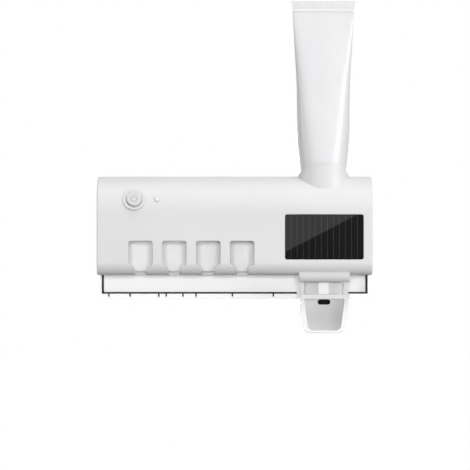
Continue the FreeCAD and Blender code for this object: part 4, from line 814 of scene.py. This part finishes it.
def make_glare_flag():
    """A card beside the camera, seen only in the panel's glass: it cuts the glare along a slant."""
    low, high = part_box("solar_panel")
    left = Vector((low.x, high.z - GLARE_LEFT * (high.z - low.z)))
    top = Vector((low.x + GLARE_TOP * (high.x - low.x), high.z))
    overrun = (top - left) * GLARE_OVERRUN
    outline = [
        left - overrun,
        top + overrun,
        Vector((high.x + GLARE_SPREAD, high.z + GLARE_SPREAD)),
        Vector((high.x + GLARE_SPREAD, low.z - GLARE_SPREAD)),
        Vector((low.x - GLARE_SPREAD, low.z - GLARE_SPREAD)),
    ]
    # Seen from the eye, each point of the flat glass mirrors what stands twice as far from the eye's axis
    corners = [(2 * p.x - EYE.x, EYE.y - GLARE_BEHIND_EYE, 2 * p.y - EYE.z) for p in outline]
    flag = make_card("glare_flag", corners)
    flag.visible_diffuse = flag.visible_shadow = flag.visible_transmission = False


def area_light(name, place, size, level):
    """A soft box aimed at the object; level is what it adds to a white surface that faces it."""
    aim = OBJECT_MIDDLE - Vector(place)
    data = bpy.data.lights.new(name, "AREA")
    data.shape = "RECTANGLE"
    data.size, data.size_y = size
    data.energy = level * math.pi ** 2 * aim.length ** 2
    lamp = add_object(name, data)
    lamp.location = place
    lamp.rotation_mode = "QUATERNION"
    lamp.rotation_quaternion = aim.to_track_quat("-Z", "Y")
    return lamp


def make_lamps():
    """Soft boxes above, in front, to the right and behind, and a weak strip on the left."""
    top_box = area_light("top_box", place=(0.1, -0.35, 1.3), size=(1.0, 0.7), level=0.55)
    area_light("right_box", place=(1.35, -0.95, 0.15), size=(0.95, 1.2), level=0.42)
    area_light("left_strip", place=(-1.32, -0.13, 0.15), size=(0.34, 1.2), level=0.14)
    front_box = area_light("front_box", place=(0.03, -2.6, 0.08), size=(0.6, 0.3), level=0.66)
    area_light("back_box", place=(0.0, 1.7, -0.1), size=(0.6, 0.5), level=0.52)
    top_box.visible_glossy = front_box.visible_glossy = False


def make_world():
    """Even light all round, with plain white behind the object and in its reflections."""
    world = bpy.data.worlds.new("studio")
    bpy.context.scene.world = world
    world.use_nodes = True
    tree = world.node_tree
    tree.nodes.clear()
    path = tree.nodes.new("ShaderNodeLightPath")
    plain = path.outputs["Is Camera Ray"]
    for ray in ("Is Glossy Ray", "Is Transmission Ray"):
        either = tree.nodes.new("ShaderNodeMath")
        either.operation = "MAXIMUM"
        tree.links.new(plain, either.inputs[0])
        tree.links.new(path.outputs[ray], either.inputs[1])
        plain = either.outputs["Value"]
    mix = tree.nodes.new("ShaderNodeMixShader")
    tree.links.new(plain, mix.inputs["Fac"])
    for strength, target in ((AMBIENT, mix.inputs[1]), (1.0, mix.inputs[2])):
        light = tree.nodes.new("ShaderNodeBackground")
        light.inputs["Color"].default_value = WHITE
        light.inputs["Strength"].default_value = strength
        tree.links.new(light.outputs["Background"], target)
    out = tree.nodes.new("ShaderNodeOutputWorld")
    tree.links.new(mix.outputs["Shader"], out.inputs["Surface"])


def make_camera():
    """A long lens square to the front, as in the photograph."""
    data = bpy.data.cameras.new("camera")
    data.sensor_width = SENSOR
    data.lens = SENSOR * CAMERA_DISTANCE / VIEW_WIDTH
    camera = add_object("camera", data)
    camera.location = EYE
    camera.rotation_euler = (math.pi / 2, 0, 0)
    bpy.context.scene.camera = camera
    bpy.context.scene.view_settings.view_transform = "Standard"


make_tube()
make_power_mark()
make_spring()
make_screws()
make_floor()
make_world()
make_lamps()
make_left_card()
make_glare_flag()
make_camera()
